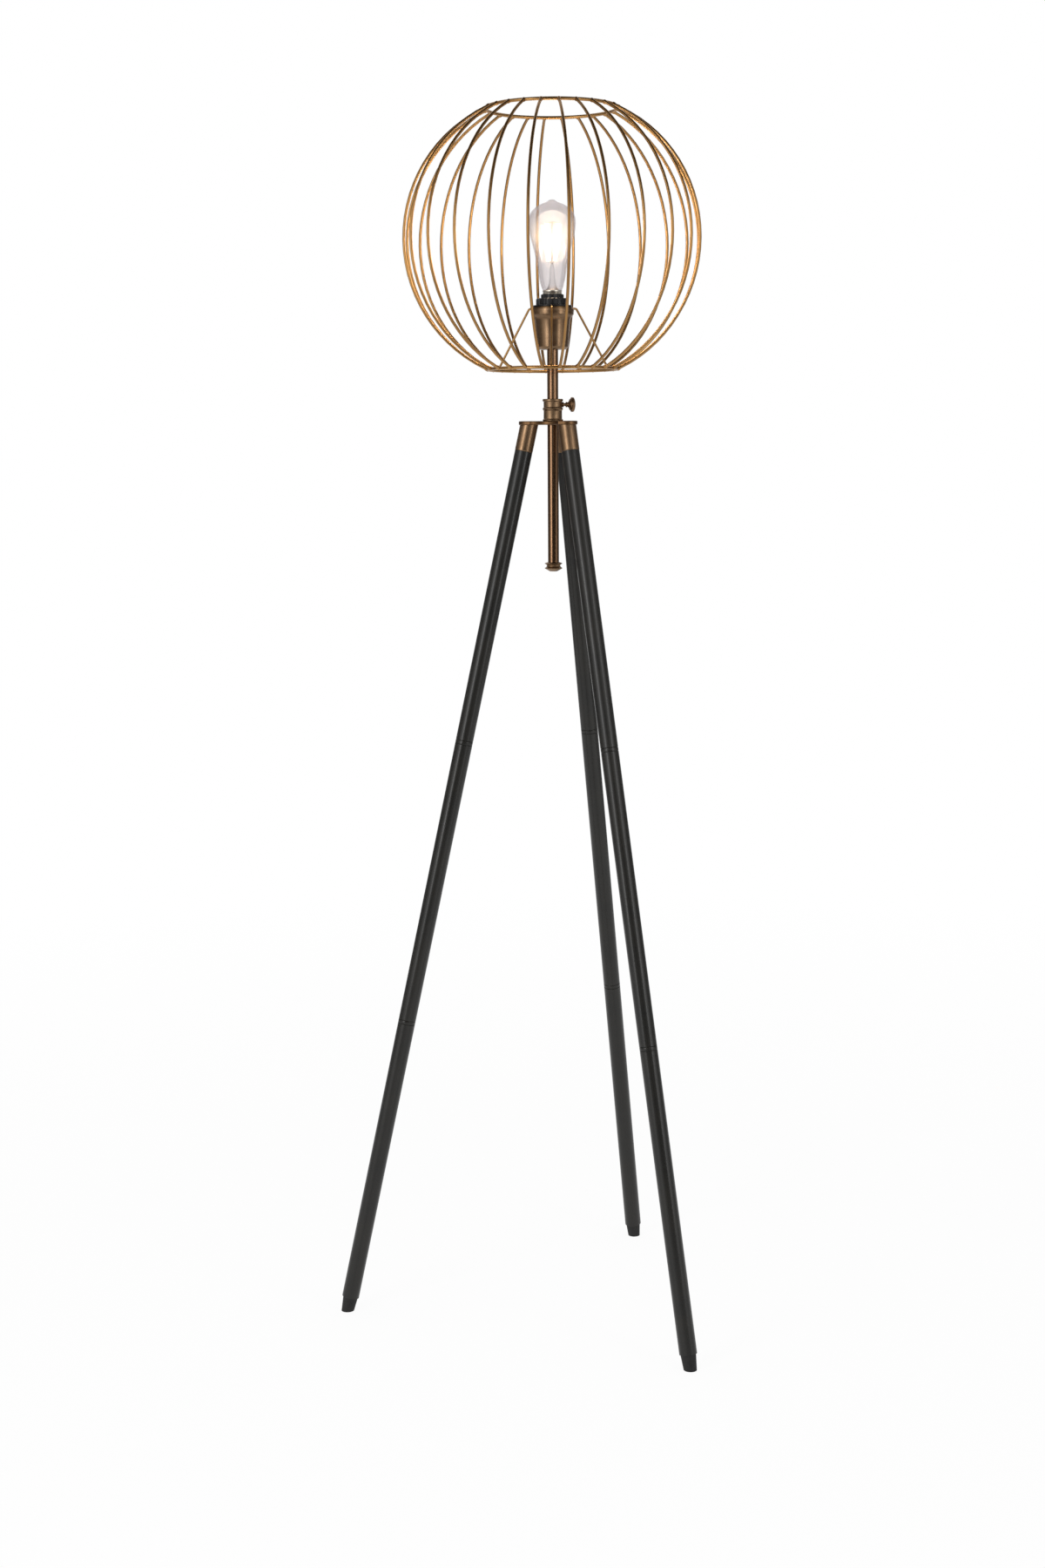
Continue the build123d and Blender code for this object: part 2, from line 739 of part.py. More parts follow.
# ==== Cage ====
# A rib is one wire bent to an arc through the widest level and both rings' centres.
rib_reach = cage_diameter / 2 - rib_wire_radius
rib_centre = (rib_reach**2 - cage_opening_radius**2 - cage_half_height**2) / (2 * (rib_reach - cage_opening_radius))
rib_bend_radius = rib_reach - rib_centre
rib_half_angle = asin(cage_half_height / rib_bend_radius)

# All the wire is round, drawn with a few flat sides. The rings have one flat turned square to the
# ribs, and a rib's end is cut on that flat, where it is welded.
ring_flat = ring_wire_radius * cos(radians(180 / wire_sides))
rib_cuts = []
for name, ring_z, side in (("cage_bottom_ring", lower_ring_z, 1), ("cage_top_ring", upper_ring_z, -1)):
    rib_approach = Vector(sin(rib_half_angle), 0, side * cos(rib_half_angle))
    rib_cuts.append(Plane(origin=Vector(cage_opening_radius, 0, ring_z) + rib_approach * ring_flat, z_dir=rib_approach))
    with BuildPart() as ring:
        with BuildSketch(Plane.XZ):
            with Locations((cage_opening_radius, ring_z)):
                RegularPolygon(ring_wire_radius, wire_sides, rotation=side * (90 - degrees(rib_half_angle)) - 180 / wire_sides)
        revolve(axis=Axis.Z)
    save(ring, name)

with BuildPart() as rib:
    rib_end = Plane(
        origin=(rib_centre, 0, cage_centre_z),
        x_dir=(cos(rib_half_angle), 0, -sin(rib_half_angle)),
        z_dir=(sin(rib_half_angle), 0, cos(rib_half_angle)),
    )
    with BuildSketch(rib_end):
        with Locations((rib_bend_radius, 0)):
            RegularPolygon(rib_wire_radius, wire_sides)
    revolve(axis=Axis((rib_centre, 0, cage_centre_z), (0, -1, 0)), revolution_arc=degrees(2 * rib_half_angle))
    for cut in rib_cuts:
        split(bisect_by=cut, keep=Keep.TOP)

with BuildPart() as cage_ribs:
    with PolarLocations(0, rib_count):
        add(rib.part)
save(cage_ribs, "cage_ribs")

with BuildPart() as gimbal_fitter_ring:
    with BuildSketch(Plane.XY.offset(lip_z)):
        Circle(fitter_ring_radius)
        Circle(holder_radius + contact_gap, mode=Mode.SUBTRACT)
    extrude(amount=fitter_ring_thickness)
save(gimbal_fitter_ring, "gimbal_fitter_ring")

# Each arm leaves the fitter ring level, just clear of the cup's lip, and bends down to the ring.
arm_z = lip_z + gimbal_wire_radius + running_fit
arm_start = (fitter_ring_radius**2 - gimbal_wire_radius**2) ** 0.5
with BuildPart() as arm:
    with BuildLine() as arm_line:
        FilletPolyline(
            (arm_start, 0, arm_z),
            (gimbal_bend_radius, 0, arm_z),
            (cage_opening_radius, 0, lower_ring_z),
            radius=2.5 * gimbal_wire_radius,
        )
    with BuildSketch(arm_line.line ^ 0):
        RegularPolygon(gimbal_wire_radius, wire_sides)
    sweep(path=arm_line.line)
    add(gimbal_fitter_ring.part, mode=Mode.SUBTRACT)
    with BuildSketch(Plane.XZ.offset(-2 * gimbal_wire_radius)):
        with Locations((cage_opening_radius, lower_ring_z)):
            Circle(ring_wire_radius)
    extrude(amount=4 * gimbal_wire_radius, mode=Mode.SUBTRACT)

with BuildPart() as gimbal_arms:
    with PolarLocations(0, gimbal_arm_count, start_angle=gimbal_azimuth):
        add(arm.part)
save(gimbal_arms, "gimbal_arms")
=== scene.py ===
"""Looks of the wire cage floor lamp: turned brass, black tube legs, a bent wire cage and a lit bulb."""
import json
import logging
import math
from collections.abc import Callable, Iterator
from contextlib import contextmanager
from dataclasses import dataclass, field
from enum import Enum

import bpy
from mathutils import Matrix, Vector

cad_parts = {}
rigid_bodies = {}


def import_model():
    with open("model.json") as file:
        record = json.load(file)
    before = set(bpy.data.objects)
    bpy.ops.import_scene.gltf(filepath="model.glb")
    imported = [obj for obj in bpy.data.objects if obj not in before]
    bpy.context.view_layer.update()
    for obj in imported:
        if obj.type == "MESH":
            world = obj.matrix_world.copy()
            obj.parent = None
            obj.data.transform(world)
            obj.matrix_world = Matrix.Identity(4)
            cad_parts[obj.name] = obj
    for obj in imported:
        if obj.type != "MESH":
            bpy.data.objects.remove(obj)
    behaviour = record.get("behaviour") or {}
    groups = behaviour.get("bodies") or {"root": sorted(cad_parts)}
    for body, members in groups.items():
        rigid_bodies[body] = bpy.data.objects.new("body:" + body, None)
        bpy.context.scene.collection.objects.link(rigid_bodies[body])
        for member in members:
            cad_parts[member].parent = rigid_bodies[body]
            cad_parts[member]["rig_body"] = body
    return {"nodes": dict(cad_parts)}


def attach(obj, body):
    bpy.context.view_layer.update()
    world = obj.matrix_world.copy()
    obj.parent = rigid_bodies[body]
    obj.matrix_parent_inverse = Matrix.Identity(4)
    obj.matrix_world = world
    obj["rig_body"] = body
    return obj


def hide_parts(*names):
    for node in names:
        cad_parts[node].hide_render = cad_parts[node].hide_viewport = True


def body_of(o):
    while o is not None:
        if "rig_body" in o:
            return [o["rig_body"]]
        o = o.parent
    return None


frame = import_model()
log = logging.getLogger("lamp")

Colour = tuple[float, float, float, float]
Place = tuple[float, float, float]
Ring = tuple[float, float]
Piece = bpy.types.Object
Material = bpy.types.Material
Node = bpy.types.Node
Socket = bpy.types.NodeSocket
Tree = bpy.types.NodeTree

MM = 0.001
FULL_TURN = 2 * math.pi
MERGE_GAP = 0.00001
CUT_GAP = 0.000001
ROUNDING_STEPS = 2
SMOOTH_BELOW = 32.0
WHITE: Colour = (1.0, 1.0, 1.0, 1.0)
VECTOR, FLOAT, COLOUR = "NodeSocketVector", "NodeSocketFloat", "NodeSocketColor"


def srgb(red: int, green: int, blue: int) -> Colour:
    """Turns a screen colour into the linear one that nodes take.

    Args:
        red: Red from 0 to 255.
        green: Green from 0 to 255.
        blue: Blue from 0 to 255.

    Returns:
        The linear colour with full alpha.
    """
    shares = (red / 255, green / 255, blue / 255)
    linear = [v / 12.92 if v <= 0.04045 else ((v + 0.055) / 1.055) ** 2.4 for v in shares]
    return (linear[0], linear[1], linear[2], 1.0)


class Axle(Enum):
    """The axis that a turned piece was spun about."""

    UPRIGHT = "upright"
    LEVEL = "level"


# ---- Shader building ----


class Graph:
    """Adds and joins the nodes of one shader tree."""

    def __init__(self, tree: Tree) -> None:
        """Starts on an emptied tree."""
        self.tree = tree
        tree.nodes.clear()

    def node(self, kind: str, inputs: dict | None = None, **settings: object) -> Node:
        """Adds one node.

        Args:
            kind: The node's Blender type name.
            inputs: Values or sockets for its inputs, by name or number.
            **settings: Properties of the node itself.

        Returns:
            The new node.
        """
        made = self.tree.nodes.new(kind)
        for key, value in settings.items():
            setattr(made, key, value)
        for key, value in (inputs or {}).items():
            if isinstance(value, Socket):
                self.tree.links.new(value, made.inputs[key])
            else:
                made.inputs[key].default_value = value
        return made

    def math(self, operation: str, first: object, second: object = 0.0) -> Socket:
        """Works one sum on two values."""
        return self.node("ShaderNodeMath", {0: first, 1: second}, operation=operation).outputs[0]

    def plus(self, first: object, second: object) -> Socket:
        """Adds two values."""
        return self.math("ADD", first, second)

    def times(self, first: object, second: object) -> Socket:
        """Multiplies two values."""
        return self.math("MULTIPLY", first, second)

    def blend(self, mask: object, low: object, high: object) -> Socket:
        """Mixes two colours: the mask says how much of the second shows."""
        return self.node("ShaderNodeMix", {0: mask, 6: low, 7: high}, data_type="RGBA").outputs[2]

    def spread(
        self, value: object, low: float, high: float, to_low: float = 0.0, to_high: float = 1.0
    ) -> Socket:
        """Stretches a value from the range low to high onto another, and clamps it there."""
        inputs = {0: value, 1: low, 2: high, 3: to_low, 4: to_high}
        return self.node("ShaderNodeMapRange", inputs).outputs[0]

    def noise(self, at: Socket, scale: object, detail: float, rough: float = 0.5) -> Socket:
        """Adds a noise pattern and gives its value."""
        inputs = {"Vector": at, "Scale": scale, "Detail": detail, "Roughness": rough}
        return self.node("ShaderNodeTexNoise", inputs).outputs[0]

    def bump(self, height: Socket, strength: float, distance: float) -> Socket:
        """Turns a height, as deep as the distance in metres, into a normal."""
        inputs = {"Height": height, "Strength": strength, "Distance": distance}
        return self.node("ShaderNodeBump", inputs).outputs[0]

    def seen(self) -> Socket:
        """Tells what the camera sees, also mirrored in metal or through glass.

        Returns:
            The socket that is 1 there and otherwise 0.
        """
        path = self.node("ShaderNodeLightPath").outputs
        bent = self.math("MAXIMUM", path["Is Glossy Ray"], path["Is Transmission Ray"])
        return self.math("MAXIMUM", path["Is Camera Ray"], bent)

    def finish(self, shader: Node) -> None:
        """Joins the finished shader to the material's output."""
        self.node("ShaderNodeOutputMaterial", {"Surface": shader.outputs[0]})

    def principled(self, inputs: dict) -> None:
        """Finishes the material with a Principled shader."""
        self.finish(self.node("ShaderNodeBsdfPrincipled", inputs))


def effect_group(
    name: str, inputs: dict[str, tuple[str, object]], outputs: dict[str, str]
) -> tuple[Graph, dict[str, Socket]]:
    """Starts a shader node group with named sockets.

    Args:
        name: The group's name.
        inputs: Socket type and default of each input.
        outputs: Socket type of each output.

    Returns:
        A graph on the group, and the sockets that its inputs come in by.
    """
    group = bpy.data.node_groups.new(name, "ShaderNodeTree")
    for label, (kind, default) in inputs.items():
        socket = group.interface.new_socket(name=label, in_out="INPUT", socket_type=kind)
        if default is not None:
            socket.default_value = default
    for label, kind in outputs.items():
        group.interface.new_socket(name=label, in_out="OUTPUT", socket_type=kind)
    graph = Graph(group)
    return graph, dict(graph.node("NodeGroupInput").outputs.items())


def build_turning_lines() -> Tree:
    """Builds the fine rings that a lathe leaves round an upright axis.

    Returns:
        The node group, with a Mask output.
    """
    inputs = {"Vector": (VECTOR, None), "Fineness": (FLOAT, 3000.0)}
    g, given = effect_group("Turning lines", inputs, {"Mask": FLOAT})
    parts = g.node("ShaderNodeSeparateXYZ", {0: given["Vector"]}).outputs
    across = g.math("SQRT", g.plus(g.math("POWER", parts[0], 2.0), g.math("POWER", parts[1], 2.0)))
    rings = g.node("ShaderNodeCombineXYZ", {0: across, 1: 0.0, 2: parts[2]}).outputs[0]
    fine = g.node("ShaderNodeVectorMath", {0: rings, "Scale": given["Fineness"]}, operation="SCALE")
    lines = g.noise(fine.outputs[0], 1.0, 2.0, 0.6)
    g.node("NodeGroupOutput", {"Mask": g.spread(lines, 0.3, 0.7)})
    return g.tree


def build_drawn_lines() -> Tree:
    """Builds the faint streaks that run along drawn tube and wire, down the Z axis.

    Returns:
        The node group, with a Mask output.
    """
    inputs = {"Vector": (VECTOR, None), "Across": (FLOAT, 900.0), "Along": (FLOAT, 6.0)}
    g, given = effect_group("Drawn lines", inputs, {"Mask": FLOAT})
    scale = g.node("ShaderNodeCombineXYZ", {0: given["Across"], 1: given["Across"], 2: given["Along"]})
    drawn = g.node("ShaderNodeVectorMath", {0: given["Vector"], 1: scale.outputs[0]}, operation="MULTIPLY")
    lines = g.noise(drawn.outputs[0], 1.0, 3.0, 0.55)
    g.node("NodeGroupOutput", {"Mask": g.spread(lines, 0.3, 0.7)})
    return g.tree


def build_patina() -> Tree:
    """Builds the cloudy darkening of aged metal, with small dark specks.

    Returns:
        The node group, with Color and Mask outputs.
    """
    inputs = {
        "Vector": (VECTOR, None),
        "Scale": (FLOAT, 60.0),
        "Bright": (COLOUR, (0.5, 0.3, 0.1, 1.0)),
        "Dark": (COLOUR, (0.1, 0.06, 0.03, 1.0)),
        "Amount": (FLOAT, 0.5),
        "Specks": (FLOAT, 0.2),
    }
    g, given = effect_group("Patina", inputs, {"Color": COLOUR, "Mask": FLOAT})
    clouds = g.noise(given["Vector"], given["Scale"], 5.0, 0.62)
    specks = g.noise(given["Vector"], g.times(given["Scale"], 14.0), 2.0)
    cloud_mask = g.times(g.spread(clouds, 0.35, 0.7), given["Amount"])
    speck_mask = g.times(g.spread(specks, 0.62, 0.75), given["Specks"])
    mask = g.math("MINIMUM", g.plus(cloud_mask, speck_mask), 1.0)
    g.node("NodeGroupOutput", {"Color": g.blend(mask, given["Bright"], given["Dark"]), "Mask": mask})
    return g.tree


def build_grain() -> Tree:
    """Builds the fine grain of paint, phenolic and rubber.

    Returns:
        The node group, with a Height output.
    """
    inputs = {"Vector": (VECTOR, None), "Scale": (FLOAT, 2500.0)}
    g, given = effect_group("Fine grain", inputs, {"Height": FLOAT})
    g.node("NodeGroupOutput", {"Height": g.noise(given["Vector"], given["Scale"], 2.0)})
    return g.tree


class Effect(Enum):
    """The surface effects that several finishes share."""

    TURNING = "Turning lines"
    DRAWN = "Drawn lines"
    PATINA = "Patina"
    GRAIN = "Fine grain"


EFFECTS: dict[Effect, Callable[[], Tree]] = {
    Effect.TURNING: build_turning_lines,
    Effect.DRAWN: build_drawn_lines,
    Effect.PATINA: build_patina,
    Effect.GRAIN: build_grain,
}


def place(graph: Graph, effect: Effect, at: Socket, **values: object) -> dict[str, Socket]:
    """Puts a shared effect into a material, building the group the first time.

    Args:
        graph: The material's graph.
        effect: Which effect.
        at: The pattern's coordinates.
        **values: The effect's own values in this material.

    Returns:
        The sockets that the effect gives, by name.
    """
    tree = bpy.data.node_groups.get(effect.value) or EFFECTS[effect]()
    made = graph.node("ShaderNodeGroup", {"Vector": at, **values}, node_tree=tree)
    return dict(made.outputs.items())


@dataclass(frozen=True)
class Lie:
    """How a pattern lies on a piece: where its origin is and how it is turned."""

    origin: Place = (0.0, 0.0, 0.0)
    turn: Place = (0.0, 0.0, 0.0)


def begin_material(name: str, lie: Lie = Lie()) -> tuple[Material, Graph, Socket]:
    """Starts a material with its pattern coordinates.

    Args:
        name: The material's name.
        lie: How the pattern lies on the piece.

    Returns:
        The material, a graph on it, and the coordinates' socket.
    """
    material = bpy.data.materials.new(name)
    material.use_nodes = True
    graph = Graph(material.node_tree)
    coords = graph.node("ShaderNodeTexCoord").outputs["Object"]
    inputs = {"Vector": coords, "Location": lie.origin, "Rotation": lie.turn}
    return material, graph, graph.node("ShaderNodeMapping", inputs, vector_type="TEXTURE").outputs[0]


@dataclass(frozen=True)
class TurnedBrass:
    """Antique brass off the lathe: warm, brushed round the axis, with brown patina."""

    bright: Colour = srgb(130, 105, 80)
    dark: Colour = srgb(90, 71, 54)
    amount: float = 0.4
    roughness: float = 0.34
    fineness: float = 4200.0

    def material(self, name: str, axle: Axle = Axle.UPRIGHT, height: float = 0.0) -> Material:
        """Builds the finish.

        Args:
            name: The material's name.
            axle: The axis that the piece was spun about.
            height: Height of a level axis, in metres.

        Returns:
            The material.
        """
        lie = Lie() if axle is Axle.UPRIGHT else Lie((0.0, 0.0, height), (0.0, math.pi / 2, 0.0))
        material, g, at = begin_material(name, lie)
        lines = place(g, Effect.TURNING, at, Fineness=self.fineness)["Mask"]
        age = place(g, Effect.PATINA, at, Scale=70.0, Bright=self.bright, Dark=self.dark, Amount=self.amount)
        rough = g.plus(g.times(age["Mask"], 0.16), g.times(lines, 0.12))
        g.principled({
            "Base Color": g.blend(g.times(lines, 0.2), age["Color"], self.dark),
            "Metallic": 1.0,
            "Roughness": g.plus(rough, self.roughness - 0.12),
            "Normal": g.bump(lines, 0.1, 0.00005),
        })
        return material


@dataclass(frozen=True)
class DrawnBrass:
    """Antique brass tube and plate, with faint streaks along its length."""

    bright: Colour
    dark: Colour
    amount: float = 0.4
    roughness: float = 0.3
    streaks: float = 0.15

    def material(self, name: str, patch: float = 25.0) -> Material:
        """Builds the finish.

        Args:
            name: The material's name.
            patch: How close the patches of patina lie.

        Returns:
            The material.
        """
        material, g, at = begin_material(name)
        lines = place(g, Effect.DRAWN, at, Across=1400.0, Along=12.0)["Mask"]
        age = place(g, Effect.PATINA, at, Scale=patch, Bright=self.bright, Dark=self.dark, Amount=self.amount)
        g.principled({
            "Base Color": g.blend(g.times(lines, self.streaks), age["Color"], self.dark),
            "Metallic": 1.0,
            "Roughness": g.plus(g.times(age["Mask"], 0.18), self.roughness - 0.06),
            "Normal": g.bump(lines, 0.03, 0.00004),
        })
        return material


@dataclass(frozen=True)
class WireBronze:
    """Bronze lacquer on bent wire: smooth and satin, drifting slowly from gold to brown."""

    gold: Colour = srgb(174, 134, 84)
    brown: Colour = srgb(136, 100, 61)
    roughness: float = 0.36

    def material(self, name: str) -> Material:
        """Builds the finish.

        Args:
            name: The material's name.

        Returns:
            The material.
        """
        material, g, at = begin_material(name)
        mask = g.spread(g.noise(at, 7.0, 2.0), 0.35, 0.65)
        g.principled({
            "Base Color": g.blend(g.times(mask, 0.6), self.gold, self.brown),
            "Metallic": 1.0,
            "Roughness": g.plus(g.times(mask, 0.08), self.roughness - 0.04),
        })
        return material


@dataclass(frozen=True)
class BlackTube:
    """Satin black lacquer over steel tube, a shade warm, with faint lengthwise streaks."""

    body: Colour = srgb(22, 22, 21)
    worn: Colour = srgb(34, 32, 28)
    roughness: float = 0.3

    def material(self, name: str, lie: Lie) -> Material:
        """Builds the finish.

        Args:
            name: The material's name.
            lie: How the streaks lie on the leg.

        Returns:
            The material.
        """
        material, g, at = begin_material(name, lie)
        lines = place(g, Effect.DRAWN, at, Across=700.0, Along=5.0)["Mask"]
        grain = place(g, Effect.GRAIN, at, Scale=2600.0)["Height"]
        mottle = place(g, Effect.PATINA, at, Scale=22.0, Bright=self.worn, Dark=self.body, Amount=0.8)
        g.principled({
            "Base Color": g.blend(g.times(lines, 0.5), mottle["Color"], self.body),
            "Roughness": g.plus(g.times(lines, 0.12), self.roughness - 0.06),
            "Specular IOR Level": 0.36,
            "Normal": g.bump(grain, 0.08, 0.00005),
        })
        return material


@dataclass(frozen=True)
class Moulded:
    """A moulded black, grey or white material with a fine grain, such as phenolic or rubber."""

    body: Colour
    cloud: Colour
    roughness: float
    grain: float = 2600.0
    depth: float = 0.15

    def material(self, name: str) -> Material:
        """Builds the finish.

        Args:
            name: The material's name.

        Returns:
            The material.
        """
        material, g, at = begin_material(name)
        grain = place(g, Effect.GRAIN, at, Scale=self.grain)["Height"]
        cloud = place(g, Effect.PATINA, at, Scale=45.0, Bright=self.cloud, Dark=self.body, Amount=0.9)
        g.principled({
            "Base Color": cloud["Color"],
            "Roughness": g.plus(g.times(cloud["Mask"], 0.1), self.roughness - 0.05),
            "Specular IOR Level": 0.28,
            "Normal": g.bump(grain, self.depth, 0.00006),
        })
        return material


@dataclass(frozen=True)
class PlatedMetal:
    """Bright plated metal, such as nickel and zinc, with faint turning marks."""

    bright: Colour
    dull: Colour
    roughness: float

    def material(self, name: str) -> Material:
        """Builds the finish.

        Args:
            name: The material's name.

        Returns:
            The material.
        """
        material, g, at = begin_material(name)
        lines = place(g, Effect.TURNING, at, Fineness=5000.0)["Mask"]
        dull = place(g, Effect.PATINA, at, Scale=90.0, Bright=self.bright, Dark=self.dull, Amount=0.5)
        rough = g.plus(g.times(lines, 0.1), self.roughness - 0.05)
        g.principled({"Base Color": dull["Color"], "Metallic": 1.0, "Roughness": rough})
        return material


@dataclass(frozen=True)
class BulbGlass:
    """Thin clear glass: greyer towards its edges, with a painted warm glow, an emission, at the filaments'
    height. Metres.
    """

    tint: Colour = srgb(246, 246, 246)
    middle: Colour = srgb(247, 245, 245)
    edge: Colour = srgb(231, 228, 229)
    # The warm colour and the glow fields below make a painted glow: the glass itself emits round the
    # filaments' height, though it is no lamp.
    warm: Colour = srgb(255, 226, 184)
    seen_through: float = 0.86
    painted_glow: float = 0.3
    painted_glow_z: float = 1.4885
    painted_glow_reach: float = 0.038

    def material(self, name: str) -> Material:
        """Builds the finish.

        Args:
            name: The material's name.

        Returns:
            The material.
        """
        material, g, at = begin_material(name)
        glass = g.node("ShaderNodeBsdfPrincipled", {
            "Base Color": self.tint,
            "Roughness": g.spread(g.noise(at, 55.0, 3.0), 0.3, 0.7, 0.01, 0.06),
            "IOR": 1.45,
            "Transmission Weight": 1.0,
            "Normal": g.bump(g.noise(at, 26.0, 1.0), 0.06, 0.0003),
        })
        facing = g.node("ShaderNodeLayerWeight", {"Blend": 0.35}).outputs["Facing"]
        path = g.node("ShaderNodeLightPath").outputs
        unseen = g.math("MAXIMUM", path["Is Shadow Ray"], path["Is Diffuse Ray"])
        rim = g.times(facing, g.math("SUBTRACT", 1.0, unseen))
        clear = g.node("ShaderNodeBsdfTransparent", {"Color": g.blend(rim, self.middle, self.edge)})
        let_by = g.math("MAXIMUM", unseen, self.seen_through)
        mixed = g.node("ShaderNodeMixShader", {0: let_by, 1: glass.outputs[0], 2: clear.outputs[0]})
        # Painted glow: a warm emission on the glass, strongest at the filaments' height and where the glass
        # faces the camera, and none for shadow or diffuse rays.
        level = g.node("ShaderNodeSeparateXYZ", {0: at}).outputs[2]
        off = g.math("ABSOLUTE", g.math("SUBTRACT", level, self.painted_glow_z))
        near = g.math("POWER", g.spread(off, 0.0, self.painted_glow_reach, 1.0, 0.0), 1.6)
        inward = g.math("POWER", g.math("SUBTRACT", 1.0, facing), 2.5)
        strength = g.math("SUBTRACT", self.painted_glow, g.times(unseen, self.painted_glow))
        lit = g.times(g.times(near, inward), strength)
        painted_halo = g.node("ShaderNodeEmission", {"Color": self.warm, "Strength": lit})
        g.finish(g.node("ShaderNodeAddShader", {0: mixed.outputs[0], 1: painted_halo.outputs[0]}))
        return material


@dataclass(frozen=True)
class Glow:
    """A lit filament: warm white, with whiter patches along it."""

    colour: Colour = srgb(255, 214, 150)
    hot: Colour = srgb(255, 240, 214)
    strength: float = 16.0

    def material(self, name: str) -> Material:
        """Builds the finish.

        Args:
            name: The material's name.

        Returns:
            The material.
        """
        material, g, at = begin_material(name)
        colour = g.blend(g.spread(g.noise(at, 420.0, 1.0), 0.35, 0.65), self.colour, self.hot)
        emission = {"Emission Color": colour, "Emission Strength": self.strength}
        g.principled({"Base Color": colour, "Roughness": 0.5, **emission})
        return material


# ---- Modelling by hand ----


def deselect() -> None:
    """Leaves edit mode and deselects everything."""
    if bpy.context.object and bpy.context.object.mode != "OBJECT":
        bpy.ops.object.mode_set(mode="OBJECT")
    bpy.ops.object.select_all(action="DESELECT")


def pick(piece: Piece) -> None:
    """Makes one piece the selected and active one.

    Args:
        piece: The piece.
    """
    deselect()
    piece.select_set(True)
    bpy.context.view_layer.objects.active = piece


def settle(piece: Piece) -> None:
    """Applies a piece's place, turn and size to its mesh."""
    pick(piece)
    bpy.ops.object.transform_apply(location=True, rotation=True, scale=True)


@contextmanager
def editing(piece: Piece) -> Iterator[None]:
    """Opens a piece in edit mode with all of it selected, and closes it again.

    Args:
        piece: The piece to edit.

    Yields:
        Nothing, while the piece is open.
    """
    pick(piece)
    bpy.ops.object.mode_set(mode="EDIT")
    bpy.ops.mesh.select_all(action="SELECT")
    yield
    bpy.ops.object.mode_set(mode="OBJECT")


def choose(piece: Piece, wanted: Callable[[Vector], bool]) -> None:
    """Selects the vertices at some places, in an open piece.

    Args:
        piece: The piece, in edit mode.
        wanted: Says whether a place is wanted.
    """
    bpy.ops.mesh.select_all(action="DESELECT")
    bpy.ops.mesh.select_mode(type="VERT")
    bpy.ops.object.mode_set(mode="OBJECT")
    for vertex in piece.data.vertices:
        vertex.select = wanted(vertex.co)
    bpy.ops.object.mode_set(mode="EDIT")


def draw_out(by: Vector) -> None:
    """Extrudes what is selected by a step."""
    bpy.ops.mesh.extrude_region_move(TRANSFORM_OT_translate={"value": by})


def scale_about(by: Place, centre: Vector | Place) -> None:
    """Scales what is selected about a place."""
    bpy.ops.transform.resize(value=by, center_override=centre)


def close_ends() -> None:
    """Closes the ends of the open piece and turns its faces outwards."""
    bpy.ops.mesh.select_all(action="SELECT")
    bpy.ops.mesh.fill_holes(sides=0)
    bpy.ops.mesh.normals_make_consistent(inside=False)


def modify(piece: Piece, name: str, kind: str, **settings: object) -> None:
    """Adds a modifier to a piece and applies it.

    Args:
        piece: The piece.
        name: The modifier's name.
        kind: Its Blender type name.
        **settings: Its properties.
    """
    pick(piece)
    modifier = piece.modifiers.new(name, kind)
    for key, value in settings.items():
        setattr(modifier, key, value)
    bpy.ops.object.modifier_apply(modifier=modifier.name)


def seal(piece: Piece) -> None:
    """Merges a mesh's doubles and turns its faces outwards.

    Args:
        piece: The piece.
    """
    with editing(piece):
        bpy.ops.mesh.remove_doubles(threshold=MERGE_GAP)
        bpy.ops.mesh.normals_make_consistent(inside=False)


def soften(piece: Piece, width: float = 0.0, limit: float = 22.0) -> None:
    """Rounds a piece's sharp edges and smooths its shading.

    Args:
        piece: The piece.
        width: How wide the rounding is, in metres, or 0 for none.
        limit: Edges sharper than this, in degrees, are rounded.
    """
    if width:
        modify(
            piece, "Rounded edges", "BEVEL", width=width, segments=ROUNDING_STEPS,
            limit_method="ANGLE", angle_limit=math.radians(limit), use_clamp_overlap=True,
        )
    pick(piece)
    bpy.ops.object.shade_smooth_by_angle(angle=math.radians(SMOOTH_BELOW))


def wire_start(name: str, radius: float, start: Vector, along: Vector, sides: int = 12) -> Piece:
    """Starts a wire with its round section.

    Args:
        name: The piece's name.
        radius: The wire's radius, in metres.
        start: Where the wire starts.
        along: The direction it leaves in.
        sides: Sides of its section.

    Returns:
        The section as a piece.
    """
    deselect()
    turn = along.to_track_quat("Z", "Y").to_euler()
    bpy.ops.mesh.primitive_circle_add(vertices=sides, radius=radius, location=start, rotation=turn)
    piece = bpy.context.object
    piece.name = name
    settle(piece)
    return piece


def chain(name: str, points: list[Vector]) -> Piece:
    """Draws an open chain of edges, extruded point by point.

    Args:
        name: The piece's name.
        points: The chain's points, in metres.

    Returns:
        The new piece.
    """
    piece = wire_start(name, 0.0005, points[0], Vector((0, 0, 1)), sides=3)
    with editing(piece):
        bpy.ops.mesh.merge(type="CENTER")
        for start, end in zip(points, points[1:]):
            draw_out(end - start)
    return piece


